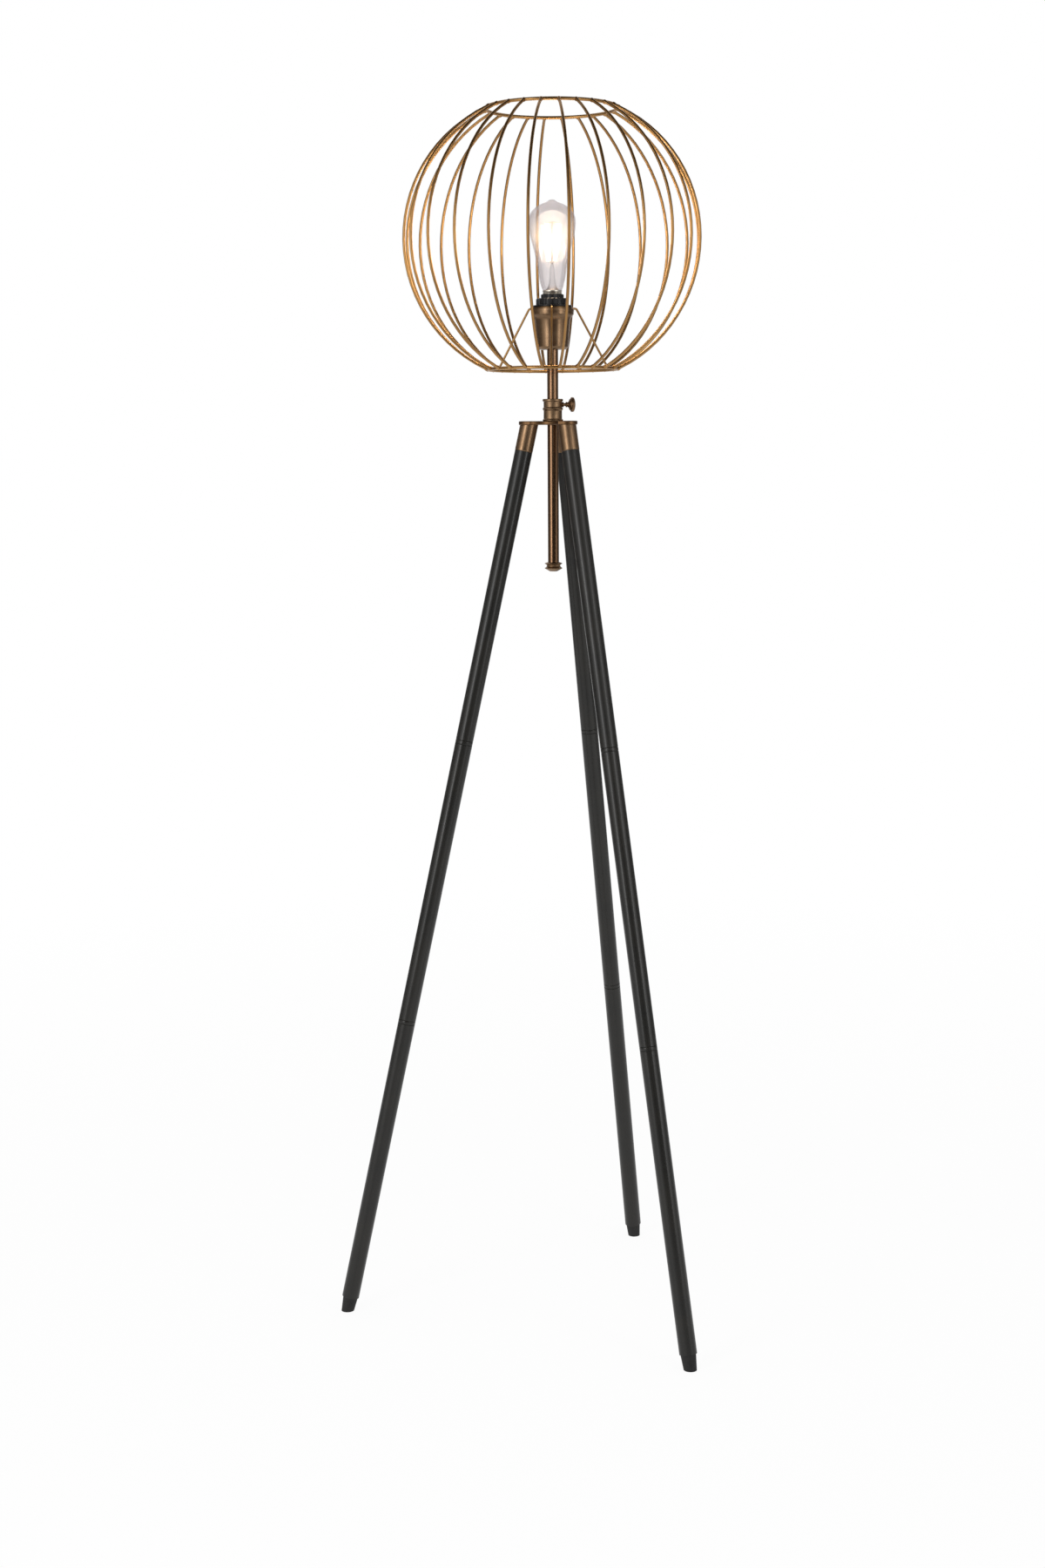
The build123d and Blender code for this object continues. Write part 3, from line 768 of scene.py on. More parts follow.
def turn_on_lathe(
    name: str, rings: list[Ring], height: float = 0.0, axle: Axle = Axle.UPRIGHT,
    steps: int = 64, closed: bool = False, edge: float = 0.3,
) -> Piece:
    """Spins a profile into a turned piece.

    Args:
        name: The piece's name.
        rings: Radius and place along the axis of each corner, in millimetres.
        height: Height of the profile's start, or of a level axis, in millimetres.
        axle: The axis to spin about.
        steps: Steps round the piece.
        closed: Whether the profile is a closed loop, as a tube's wall is.
        edge: How wide its edges are rounded, in millimetres.

    Returns:
        The finished mesh piece.
    """
    corners = rings + rings[:1] if closed else rings
    if axle is Axle.UPRIGHT:
        points = [Vector((radius, 0.0, height + along)) * MM for radius, along in corners]
        centre, axis = Vector((0.0, 0.0, 0.0)), Vector((0.0, 0.0, 1.0))
    else:
        points = [Vector((along, 0.0, height + radius)) * MM for radius, along in corners]
        centre, axis = Vector((0.0, 0.0, height * MM)), Vector((1.0, 0.0, 0.0))
    piece = chain(name, points)
    with editing(piece):
        bpy.ops.mesh.spin(steps=steps, angle=FULL_TURN, center=centre, axis=axis)
    seal(piece)
    soften(piece, edge * MM)
    return piece


def copy_round(piece: Piece, total: int) -> None:
    """Fills the turn round the lamp's axis with copies of a piece's mesh.

    Args:
        piece: The piece.
        total: How many fill the full turn, the first one included.
    """
    angle = FULL_TURN * (total - 1) / total
    with editing(piece):
        bpy.ops.mesh.spin(steps=total - 1, dupli=True, angle=angle, center=(0, 0, 0), axis=(0, 0, 1))


def dress(piece: Piece, finish: Material) -> None:
    """Gives a piece its only material.

    Args:
        piece: The piece.
        finish: Its material.
    """
    if not piece.material_slots:
        piece.data.materials.append(finish)
    for material_slot in piece.material_slots:
        material_slot.material = finish


def fit(piece: Piece, finish: Material, slot: str, *nodes: str) -> None:
    """Dresses a finished piece and puts it in the place of its CAD nodes.

    Args:
        piece: The piece.
        finish: Its material.
        slot: The record's material slot; not used.
        *nodes: The nodes that it stands for.
    """
    dress(piece, finish)
    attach(piece, body_of(frame["nodes"][nodes[0]])[0])
    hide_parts(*nodes)
    log.info("%s replaces %s", piece.name, ", ".join(nodes))


def keep(finish: Material, *nodes: str) -> None:
    """Gives CAD nodes that stay as they are their material.

    Args:
        finish: The material.
        *nodes: The nodes.
    """
    for node in nodes:
        dress(frame["nodes"][node], finish)
    log.info("%s on %s", finish.name, ", ".join(nodes))


def add_object(name: str, data: bpy.types.ID) -> Piece:
    """Adds a light or a camera to the scene.

    Args:
        name: Its name.
        data: What it holds.

    Returns:
        The new object.
    """
    made = bpy.data.objects.new(name, data)
    bpy.context.scene.collection.objects.link(made)
    return made


# ---- Sub-assemblies ----


@dataclass
class Cage:
    """The round shade: bowed ribs between two rings, on arms from the fitter ring. Millimetres."""

    centre_z: float = 1485.0
    half_height: float = 170.0
    diameter: float = 400.0
    opening_radius: float = 87.5
    ring_wire: float = 2.3
    ring_steps: int = 96
    rib_wire: float = 2.0
    rib_count: int = 24
    rib_steps: int = 28
    rib_weld: tuple[float, float, float] = (2.6, 2.2, 1.45)
    arm_wire: float = 1.5
    arm_start: float = 26.5
    arm_knee: float = 36.7
    arm_bend: float = 2.5
    arm_bend_steps: int = 8
    arm_z: float = 1395.55
    arm_count: int = 3
    arm_azimuth: float = 22.5
    arm_weld: tuple[float, float, float] = (2.6, 2.4, 1.5)

    def build(self) -> None:
        """Builds and dresses the whole cage."""
        wire = WireBronze().material("cage_wire_bronze")
        for piece, node in (
            (self.ribs(), "cage_ribs"),
            (self.ring("wire_ring_top", self.half_height), "cage_top_ring"),
            (self.ring("wire_ring_bottom", -self.half_height), "cage_bottom_ring"),
            (self.arms(), "gimbal_arms"),
        ):
            fit(piece, wire, "aged_bronze_wire", node)
        # Painted shade: the fitter ring's bronze is made darker than the other brass, for the dark gap it
        # sits in under the shade ring's flange.
        painted_shade_bronze = DrawnBrass(srgb(100, 77, 53), srgb(60, 46, 34), roughness=0.38)
        keep(painted_shade_bronze.material("fitter_ring_painted_shade_bronze", 40.0), "gimbal_fitter_ring")

    def ribs(self) -> Piece:
        """Bends one rib with a weld flare at each end and copies it round.

        Returns:
            The ribs as one piece.
        """
        reach, opening = self.diameter / 2 - self.rib_wire, self.opening_radius
        centre = (reach**2 - opening**2 - self.half_height**2) / (2 * (reach - opening))
        bend = reach - centre
        half = math.asin(self.half_height / bend)
        pivot = Vector((centre, 0, self.centre_z)) * MM
        start = pivot + Vector((math.cos(half), 0, -math.sin(half))) * bend * MM
        upwards = Vector((math.sin(half), 0, math.cos(half)))
        weld, taper, flare = self.rib_weld[0] / bend, self.rib_weld[1] / bend, self.rib_weld[2]
        bow = 2 * half - 2 * (weld + taper)
        piece = wire_start("wire_ribs", self.rib_wire * flare * MM, start, upwards)
        with editing(piece):
            turned = -half
            for angle, steps, swell in (
                (weld, 1, 1.0), (taper, 1, 1 / flare), (bow, self.rib_steps, 1.0), (taper, 1, flare),
                (weld, 1, 1.0),
            ):
                bpy.ops.mesh.spin(steps=steps, angle=angle, center=pivot, axis=(0, 1, 0))
                turned += angle
                here = pivot + Vector((math.cos(turned), 0, math.sin(turned))) * bend * MM
                scale_about((swell, swell, swell), here)
            close_ends()
        copy_round(piece, self.rib_count)
        seal(piece)
        soften(piece)
        return piece

    def ring(self, name: str, rise: float) -> Piece:
        """Sweeps one wire ring.

        Args:
            name: The piece's name.
            rise: Height above the cage's middle.

        Returns:
            The ring.
        """
        start = Vector((self.opening_radius, 0, self.centre_z + rise)) * MM
        piece = wire_start(name, self.ring_wire * MM, start, Vector((0, 1, 0)))
        with editing(piece):
            bpy.ops.mesh.spin(steps=self.ring_steps, angle=FULL_TURN, center=(0, 0, start.z), axis=(0, 0, 1))
        seal(piece)
        soften(piece)
        return piece

    def arms(self) -> Piece:
        """Bends one arm from the fitter ring down to the bottom ring and copies it round.

        Returns:
            The arms as one piece.
        """
        low = Vector((self.opening_radius, 0, self.centre_z - self.half_height))
        knee = Vector((self.arm_knee, 0, self.arm_z))
        down = (low - knee).normalized()
        angle = math.acos(down.x)
        bend = self.arm_bend * self.arm_wire
        tangent = bend * math.tan(angle / 2)
        pivot = Vector((knee.x - tangent, 0, knee.z - bend)) * MM
        level = (knee.x - tangent - self.arm_start) * MM
        weld, taper, flare = self.arm_weld
        run = ((low - knee).length - tangent) * MM - (weld + taper) * MM
        foot = knee * MM + down * (tangent * MM + run)
        start = Vector((self.arm_start, 0, self.arm_z)) * MM
        piece = wire_start("gimbal_wires", self.arm_wire * MM, start, Vector((1, 0, 0)))
        with editing(piece):
            draw_out(Vector((level, 0, 0)))
            bpy.ops.mesh.spin(steps=self.arm_bend_steps, angle=angle, center=pivot, axis=(0, -1, 0))
            draw_out(down * run)
            draw_out(down * taper * MM)
            scale_about((flare, flare, flare), foot + down * taper * MM)
            draw_out(down * weld * MM)
            close_ends()
        piece.rotation_euler.z = math.radians(self.arm_azimuth)
        settle(piece)
        copy_round(piece, self.arm_count)
        seal(piece)
        soften(piece)
        return piece


@dataclass
class Lampholder:
    """The turned brass cup, the black holder and its clamping ring. Millimetres."""

    cup_base: float = 1341.0
    wall: float = 1.2
    nipple: float = 5.05
    ring_z: float = 1396.4
    ring_bore: float = 19.35
    skirt_z: float = 1366.2
    skirt_height: float = 47.2
    skirt_bore: float = 13.95
    thread_turns: int = 9
    thread_pitch: float = 3.4
    grips: int = 24
    ribs: int = 20
    steps_each: int = 6
    pressed: tuple[int, ...] = (0, 1)
    sharp: float = 28.0
    cup_profile: list[Ring] = field(
        default_factory=lambda: [
            (18.6, 0.0), (21.4, 3.4), (22.4, 20.0), (23.9, 38.5), (24.7, 40.8), (26.2, 43.3), (27.5, 44.2),
            (27.2, 44.7), (28.1, 45.3), (28.5, 46.0), (28.6, 47.6), (28.9, 50.0), (29.2, 53.0),
        ]
    )

    def build(self) -> None:
        """Builds and dresses the lampholder."""
        phenolic = Moulded(srgb(9, 9, 10), srgb(17, 16, 17), 0.3).material("black_phenolic")
        fit(self.cup(), TurnedBrass().material("turned_brass_cup"), "antique_brass", "lampholder_cup")
        fit(self.clamp_ring(), phenolic, "black_phenolic", "shade_ring")
        fit(self.skirt(), phenolic, "black_phenolic", "lampholder_skirt")
        keep(phenolic, "lampholder_base", "contact_block")

    def cup(self) -> Piece:
        """Turns the brass cup: bevelled foot, tapered body, hollow flare, step and lip.

        Returns:
            The cup.
        """
        inner = [(radius - self.wall, z) for radius, z in reversed(self.cup_profile[1:])]
        floor = [(self.cup_profile[0][0] - self.wall, self.wall), (self.nipple, self.wall)]
        rings = [(self.nipple, 0.0), *self.cup_profile, *inner, *floor]
        return turn_on_lathe("brass_cup", rings, self.cup_base, steps=80, closed=True, edge=0.22)

    def clamp_ring(self) -> Piece:
        """Turns the shade ring and presses its grips in.

        Returns:
            The ring.
        """
        bore, steps = self.ring_bore, self.grips * self.steps_each
        rings = [
            (bore, 0.0), (25.3, 0.0), (26.5, 1.1), (26.5, 2.5), (22.0, 2.9), (22.0, 7.0), (22.0, 10.6),
            (21.0, 11.6), (bore, 11.6),
        ]
        piece = turn_on_lathe("black_shade_ring", rings, self.ring_z, steps=steps, closed=True, edge=0.0)
        self.press(piece, steps, 21.5, (self.ring_z + 2.7, self.ring_z + 11.0), 0.958)
        soften(piece, 0.18 * MM, self.sharp)
        return piece

    def skirt(self) -> Piece:
        """Turns the threaded skirt and presses the ribs of its collar in.

        Returns:
            The skirt.
        """
        top, bore, thread = self.skirt_height, self.skirt_bore, []
        for turn in range(self.thread_turns):
            start = 10.0 + self.thread_pitch * turn
            thread += [(18.5, start), (19.3, start + 0.9), (19.3, start + 1.7), (18.5, start + 2.6)]
        rings = [
            (17.75, 0.0), (19.3, 0.0), *thread, (18.5, top - 5.8), (15.4, top - 5.6), (15.4, top - 5.2),
            (15.4, top - 0.6), (14.9, top), (bore, top), (bore, 3.0), (17.75, 3.0),
        ]
        steps, level = self.ribs * self.steps_each, self.skirt_z + top
        piece = turn_on_lathe("black_threaded_skirt", rings, self.skirt_z, steps=steps, closed=True, edge=0.0)
        self.press(piece, steps, 15.2, (level - 5.3, level - 0.5), 0.955)
        soften(piece, 0.12 * MM, self.sharp)
        return piece

    def press(self, piece: Piece, steps: int, radius: float, band: Ring, by: float) -> None:
        """Presses upright grooves into a turned wall.

        Args:
            piece: The piece.
            steps: Its steps round.
            radius: Only vertices beyond this radius move, in millimetres.
            band: Lowest and highest level, in millimetres.
            by: The scale towards the axis.
        """

        def in_groove(spot: Vector) -> bool:
            """Says whether a vertex lies in a groove.

            Args:
                spot: The vertex's place, in metres.

            Returns:
                Whether it does.
            """
            step = round(math.atan2(spot.y, spot.x) / (FULL_TURN / steps)) % self.steps_each
            beyond = math.hypot(spot.x, spot.y) / MM > radius
            return step in self.pressed and beyond and band[0] < spot.z / MM < band[1]

        with editing(piece):
            choose(piece, in_groove)
            scale_about((by, by, 1.0), (0, 0, 0))


@dataclass
class Bulb:
    """The pear-shaped bulb, its screw cap and what glows inside. Millimetres."""

    rim: float = 1418.5
    wall: float = 0.9
    glass_steps: int = 32
    cap_radius: float = 13.2
    cap_length: float = 22.0
    cap_wall: float = 0.4
    thread_turns: int = 4
    thread_pitch: float = 3.63
    seat: float = 3.0
    stem_height: float = 38.0
    pinch_from: float = 24.0
    pinch: float = 0.55
    filament_gap: float = 4.0
    filament_length: float = 48.0
    filament_foot: float = 5.0
    filament_head: float = 11.0
    filament_tip: float = 0.55
    filament_swell: float = 1.8
    filament_count: int = 4
    light_power: float = 1.2
    light_rise: float = 65.0
    rings: list[Ring] = field(
        default_factory=lambda: [
            (12.6, -3.0), (12.7, 0.0), (14.3, 3.2), (16.4, 9.5), (18.1, 18.5), (19.4, 27.5), (20.8, 36.5),
            (23.6, 49.0), (27.8, 64.5), (30.9, 77.0), (32.2, 89.0), (31.2, 97.5), (27.6, 103.8),
            (22.0, 109.2), (14.5, 113.4), (8.2, 115.2), (5.9, 116.6), (4.4, 118.3), (1.6, 119.0),
        ]
    )

    def build(self) -> None:
        """Builds and dresses the bulb."""
        nickel = PlatedMetal(srgb(206, 200, 188), srgb(150, 142, 128), 0.28).material("cap_nickel")
        mount = BulbGlass(seen_through=0.5, painted_glow=0.0).material("stem_glass")
        wire = PlatedMetal(srgb(150, 140, 128), srgb(96, 88, 78), 0.35).material("lead_wire_metal")
        vitrite = Moulded(srgb(18, 18, 22), srgb(30, 28, 34), 0.18).material("cap_vitrite")
        fit(self.glass(), BulbGlass().material("bulb_clear_glass"), "bulb_glass", "bulb_glass")
        fit(self.cap(), nickel, "nickel", "bulb_cap")
        fit(self.stem(), mount, "bulb_glass_stem", "bulb_stem")
        lit = self.filaments()
        fit(lit, Glow().material("lit_filament"), "filament", "bulb_filaments")
        self.shine(lit)
        keep(wire, "bulb_lead_wires")
        keep(nickel, "bulb_contact")
        keep(vitrite, "bulb_cap_insulator")

    def shine(self, filaments: Piece) -> None:
        """Adds the light that the filaments throw on the cage, and lets it ride with them.

        Args:
            filaments: The filaments.
        """
        data = bpy.data.lights.new("filament_light", "POINT")
        data.energy = self.light_power
        data.color = (1.0, 0.83, 0.6)
        data.shadow_soft_size = 0.03
        lamp = add_object("filament_light", data)
        lamp.location = Vector((0, 0, self.rim + self.light_rise)) * MM
        lamp.parent = filaments
        lamp.visible_camera = False
        lamp.visible_transmission = False

    def glass(self) -> Piece:
        """Blows the glass: a spun control cage, subdivided, then given its wall.

        Returns:
            The glass.
        """
        steps = self.glass_steps
        swell = 1 / (2 / 3 + math.cos(FULL_TURN / steps) / 3)
        points = [Vector((radius * swell, 0, self.rim + rise)) * MM for radius, rise in self.rings]
        top = (self.rim + self.rings[-1][1]) * MM
        piece = chain("clear_glass_bulb", points)
        with editing(piece):
            bpy.ops.mesh.spin(steps=steps, angle=FULL_TURN, center=(0, 0, 0), axis=(0, 0, 1))
        seal(piece)
        with editing(piece):
            choose(piece, lambda spot: abs(spot.z - top) < 0.1 * MM)
            bpy.ops.mesh.edge_face_add()
            bpy.ops.mesh.poke()
        modify(piece, "Blown", "SUBSURF", levels=2, render_levels=2)
        modify(piece, "Wall", "SOLIDIFY", thickness=self.wall * MM, offset=-1.0)
        bpy.ops.object.shade_smooth_by_angle(angle=math.radians(50))
        return piece

    def cap(self) -> Piece:
        """Turns the nickel screw cap with its rolled thread.

        Returns:
            The cap.
        """
        out, length, thread = self.cap_radius, self.cap_length, []
        for turn in range(self.thread_turns):
            start = 5.0 + self.thread_pitch * turn
            thread += [(out - 1.0, start), (out - 0.3, start + 0.9)]
            thread += [(out, start + 1.8), (out - 0.3, start + 2.7)]
        lip = [(out - 0.9, length - 2.5), (out - 0.1, length - 1.6), (out, length)]
        outer = [(9.0, 0.0), (out - 1.2, 3.0), *thread, *lip]
        inner = [(radius - self.cap_wall, level) for radius, level in reversed(outer)]
        return turn_on_lathe("screw_cap", outer + inner, self.rim - length, steps=72, closed=True, edge=0.12)

    def stem(self) -> Piece:
        """Turns the glass mount and pinches its top flat.

        Returns:
            The mount.
        """
        z, top = self.rim - self.seat, self.stem_height
        rings = [
            (0.0, 0.0), (11.4, 0.0), (9.4, 3.0), (6.0, 8.0), (4.4, 13.0), (3.3, 20.0), (3.0, 28.0),
            (2.2, top - 1.0), (0.0, top),
        ]
        piece = turn_on_lathe("glass_mount", rings, z, steps=40)
        with editing(piece):
            choose(piece, lambda spot: spot.z > (z + self.pinch_from) * MM)
            scale_about((1.0, self.pinch, 1.0), (0, 0, 0))
        return piece

    def filaments(self) -> Piece:
        """Draws one rounded rod where the first filament stands and copies it round.

        Returns:
            The filaments as one piece.
        """
        foot_z = self.rim - self.seat + self.stem_height + self.filament_gap
        foot, lean = self.filament_foot, self.filament_head - self.filament_foot
        rise = math.sqrt(self.filament_length**2 - lean**2)
        heading = Vector((math.cos(math.pi / 4), math.sin(math.pi / 4), 0))
        here = (heading * foot + Vector((0, 0, foot_z))) * MM
        along = (heading * lean + Vector((0, 0, rise))).normalized()
        piece = wire_start("glowing_filaments", self.filament_tip * MM, here, along, sides=10)
        cap, swell = 0.6, self.filament_swell
        half = self.filament_length / 2 - cap
        with editing(piece):
            for step, by in ((cap, swell), (half, 1.0), (half, 1.0), (cap, 1 / swell)):
                draw_out(along * step * MM)
                here = here + along * step * MM
                scale_about((by, by, by), here)
            close_ends()
        copy_round(piece, self.filament_count)
        soften(piece)
        return piece


@dataclass
class Hub:
    """The spider plate, its turned collar and thumbscrew, and the pole with its end cap. Millimetres."""

    plate_top: float = 1246.0
    collar_height: float = 29.5
    bore: float = 7.55
    screw_z: float = 1267.9
    screw_bore: float = 3.05
    drill_start: float = 5.0
    drill_reach: float = 12.0
    pole_bottom: float = 1056.0
    cable_bore: float = 4.2

    def build(self) -> None:
        """Builds and dresses the hub and the pole."""
        turned = TurnedBrass(srgb(140, 114, 87), srgb(98, 77, 57), roughness=0.44)
        knob = TurnedBrass(srgb(140, 110, 82), srgb(96, 72, 52), roughness=0.42)
        drawn = DrawnBrass(srgb(124, 95, 71), srgb(88, 67, 49), amount=0.3, roughness=0.26, streaks=0.06)
        plate = DrawnBrass(srgb(112, 84, 58), srgb(64, 46, 32), amount=0.6, roughness=0.42)
        steel = PlatedMetal(srgb(178, 178, 176), srgb(118, 116, 112), 0.34)
        contact = PlatedMetal(srgb(190, 160, 110), srgb(130, 104, 66), 0.3)
        plastic = Moulded(srgb(210, 208, 202), srgb(226, 224, 220), 0.4)
        brass = turned.material("turned_brass_hub")
        level = knob.material("turned_brass_knob", Axle.LEVEL, self.screw_z * MM)
        fit(self.collar(), brass, "antique_brass", "hub_collar")
        fit(self.thumbscrew(), level, "antique_brass", "thumbscrew")
        fit(self.end_cap(), brass, "antique_brass", "pole_end_cap")
        keep(plate.material("brass_plate", 50.0), "spider_plate", "leg_screws")
        keep(drawn.material("drawn_brass_pole"), "pole")
        fasteners = ("pole_top_bush", "threaded_nipple", "nipple_lock_nut", "terminal_screws")
        keep(steel.material("bright_steel"), *fasteners)
        keep(contact.material("contact_brass"), "screw_shell", "centre_contact")
        keep(plastic.material("pad_plastic"), "clamp_pad")

    def collar(self) -> Piece:
        """Turns the collar with its three beads and its spigot, and drills the thumbscrew's hole.

        Returns:
            The collar.
        """
        bore, top, reach = self.bore, self.collar_height, self.drill_reach
        rings = [
            (bore, -5.0), (9.5, -5.0), (9.5, 0.0), (13.0, 0.0), (13.9, 0.8), (13.9, 1.8), (13.0, 2.5),
            (12.5, 3.1), (12.4, 13.6), (12.9, 14.7), (13.7, 15.3), (13.9, 16.2), (13.7, 17.1), (12.9, 17.7),
            (12.4, 18.6), (12.5, top - 4.0), (12.8, top - 3.3), (13.9, top - 2.9), (13.9, top - 0.7),
            (13.2, top), (bore + 0.5, top), (bore, top - 0.5),
        ]
        piece = turn_on_lathe("turned_collar", rings, self.plate_top, closed=True, edge=0.25)
        deselect()
        middle = Vector((self.drill_start + reach / 2, 0, self.screw_z)) * MM
        bpy.ops.mesh.primitive_cylinder_add(
            vertices=48, radius=self.screw_bore * MM, depth=reach * MM, location=middle,
            rotation=(0, math.pi / 2, 0),
        )
        drill = bpy.context.object
        modify(piece, "Thumbscrew hole", "BOOLEAN", operation="DIFFERENCE", object=drill)
        bpy.data.objects.remove(drill)
        soften(piece)
        return piece

    def thumbscrew(self) -> Piece:
        """Turns the thumbscrew: nose, thread, two beads with a neck, and a dished knob.

        Returns:
            The thumbscrew.
        """
        rings = [
            (0.0, 8.7), (1.5, 8.7), (1.5, 10.2), (2.9, 10.2), (3.0, 12.5), (3.0, 12.6), (3.6, 13.1),
            (3.6, 14.5), (2.2, 15.0), (2.05, 16.1), (2.2, 17.2), (3.6, 17.7), (3.6, 19.1), (2.9, 19.7),
            (3.5, 20.6), (5.0, 21.8), (7.2, 22.5), (7.2, 23.1), (8.2, 24.0), (9.5, 24.5), (9.8, 25.2),
            (9.8, 27.6), (9.3, 28.5), (7.4, 29.5), (4.4, 30.3), (0.0, 30.6),
        ]
        return turn_on_lathe("turned_thumbscrew", rings, self.screw_z, Axle.LEVEL, steps=56, edge=0.2)

    def end_cap(self) -> Piece:
        """Turns the pole's end cap: two thin rims, a hollow neck and a cone to the cable hole.

        Returns:
            The end cap.
        """
        bore = self.cable_bore
        rings = [
            (bore, 12.0), (bore, -12.3), (5.2, -12.3), (8.9, -10.1), (11.6, -8.6), (12.1, -8.2), (11.9, -7.8),
            (10.6, -6.9), (9.4, -5.7), (9.1, -4.7), (9.5, -3.6), (10.7, -2.6), (12.0, -2.0), (12.1, -1.5),
            (11.4, -1.1), (8.6, 0.0), (6.25, 0.0), (6.25, 12.0),
        ]
        return turn_on_lathe("turned_end_cap", rings, self.pole_bottom, closed=True, edge=0.18)


@dataclass
class Legs:
    """Three splayed legs of black tube: brass ferrules, flush couplers, rubber feet. Millimetres."""

    azimuths: tuple[float, ...] = (180.0, 300.0, 60.0)
    top: float = 1241.0
    top_circle: float = 32.3
    floor_circle: float = 299.0
    tube: float = 12.0
    bore: float = 10.75
    couplers: tuple[tuple[str, float], ...] = (("upper", 436.8), ("lower", 837.6))
    coupler_length: float = 6.0
    spigot: float = 18.0
    foot_height: float = 21.0

    def build(self) -> None:
        """Builds and dresses the three legs."""
        rubber = Moulded(srgb(22, 22, 22), srgb(34, 33, 32), 0.62, grain=1800.0, depth=0.3)
        ferrule = TurnedBrass(srgb(138, 111, 85), srgb(96, 75, 55), roughness=0.38)
        sole = rubber.material("foot_rubber")
        for number, azimuth in enumerate(self.azimuths, start=1):
            lacquer = BlackTube().material(f"black_lacquer_leg_{number}", self.lie(azimuth))
            brass = ferrule.material(f"ferrule_brass_{number}")
            name = f"leg_{number}"
            fit(self.ferrule(number, azimuth), brass, "antique_brass", f"{name}_ferrule")
            for level, along in self.couplers:
                coupler = self.coupler(f"black_coupler_{number}_{level}", azimuth, along)
                fit(coupler, lacquer, "black_tube", f"{name}_{level}_coupler")
            fit(self.foot(number, azimuth), sole, "foot_rubber", f"{name}_foot")
            keep(lacquer, f"{name}_upper_tube", f"{name}_middle_tube", f"{name}_lower_tube")

    @property
    def lean(self) -> float:
        """The leg's lean from upright, in radians."""
        return math.atan2(self.floor_circle - self.top_circle, self.top)

    @property
    def length(self) -> float:
        """The leg's length from the plate to the floor."""
        return math.hypot(self.floor_circle - self.top_circle, self.top)

    def head(self, azimuth: float) -> Vector:
        """Where a leg's axis meets the plate, in metres, for its heading in degrees."""
        outward = Vector((math.cos(math.radians(azimuth)), math.sin(math.radians(azimuth)), 0))
        return outward * self.top_circle * MM + Vector((0, 0, self.top * MM))

    def lie(self, azimuth: float) -> Lie:
        """How the lengthwise streaks lie on the leg with this heading, in degrees."""
        return Lie(tuple(self.head(azimuth)), (0.0, -self.lean, math.radians(azimuth)))

    def stand_up(self, piece: Piece, azimuth: float) -> None:
        """Puts a piece that was turned upright onto its leg's axis.

        Args:
            piece: The piece, turned about Z with the plate at 0 and the leg running down.
            azimuth: The leg's heading, in degrees.
        """
        lean = Matrix.Rotation(math.radians(azimuth), 4, "Z") @ Matrix.Rotation(-self.lean, 4, "Y")
        piece.matrix_world = Matrix.Translation(self.head(azimuth)) @ lean
        settle(piece)

    def cut_level(self, piece: Piece, height: float, above: bool) -> None:
        """Cuts a piece off level and closes it.

        Args:
            piece: The piece.
            height: Height of the cut, in millimetres.
            above: Whether what is above goes.
        """
        with editing(piece):
            bpy.ops.mesh.bisect(
                plane_co=(0, 0, height * MM), plane_no=(0, 0, 1), use_fill=True,
                clear_outer=above, clear_inner=not above, threshold=CUT_GAP,
            )
        seal(piece)
        soften(piece)

    def ferrule(self, number: int, azimuth: float) -> Piece:
        """Turns a leg's brass ferrule with its spigot and cuts its top level.

        Args:
            number: The leg's number.
            azimuth: The leg's heading, in degrees.

        Returns:
            The ferrule.
        """
        end, bore = -36.0, self.bore
        rings = [
            (0.0, 14.0), (12.15, 14.0), (12.15, -34.9), (11.7, end), (bore, end),
            (bore, end - self.spigot), (0.0, end - self.spigot),
        ]
        piece = turn_on_lathe(f"brass_ferrule_{number}", rings, steps=56, edge=0.2)
        self.stand_up(piece, azimuth)
        self.cut_level(piece, self.top, above=True)
        return piece

    def coupler(self, name: str, azimuth: float, along: float) -> Piece:
        """Turns a flush coupler whose eased edges show as two seams.

        Args:
            name: The piece's name.
            azimuth: The leg's heading, in degrees.
            along: How far down the leg the coupler starts.

        Returns:
            The coupler.
        """
        reach, end, tube, bore = self.spigot, -self.coupler_length, self.tube, self.bore
        rings = [
            (0.0, reach), (bore, reach), (bore, 0.0), (tube - 0.75, 0.0), (tube, -0.8),
            (tube, end + 0.8), (tube - 0.75, end), (bore, end), (bore, end - reach), (0.0, end - reach),
        ]
        piece = turn_on_lathe(name, rings, -along, steps=56, edge=0.15)
        self.stand_up(piece, azimuth)
        return piece

    def foot(self, number: int, azimuth: float) -> Piece:
        """Turns a rubber foot with a rounded tip and cuts it level on the floor.

        Args:
            number: The leg's number.
            azimuth: The leg's heading, in degrees.

        Returns:
            The foot.
        """
        rings = [
            (0.0, self.spigot), (self.bore, self.spigot), (self.bore, 0.0), (10.5, -0.4), (10.3, -3.0),
            (9.0, -19.0), (8.6, -26.0), (0.0, -26.0),
        ]
        start = self.foot_height - self.length
        piece = turn_on_lathe(f"rubber_foot_{number}", rings, start, steps=48, edge=0.25)
        self.stand_up(piece, azimuth)
        self.cut_level(piece, 0.0, above=False)
        return piece


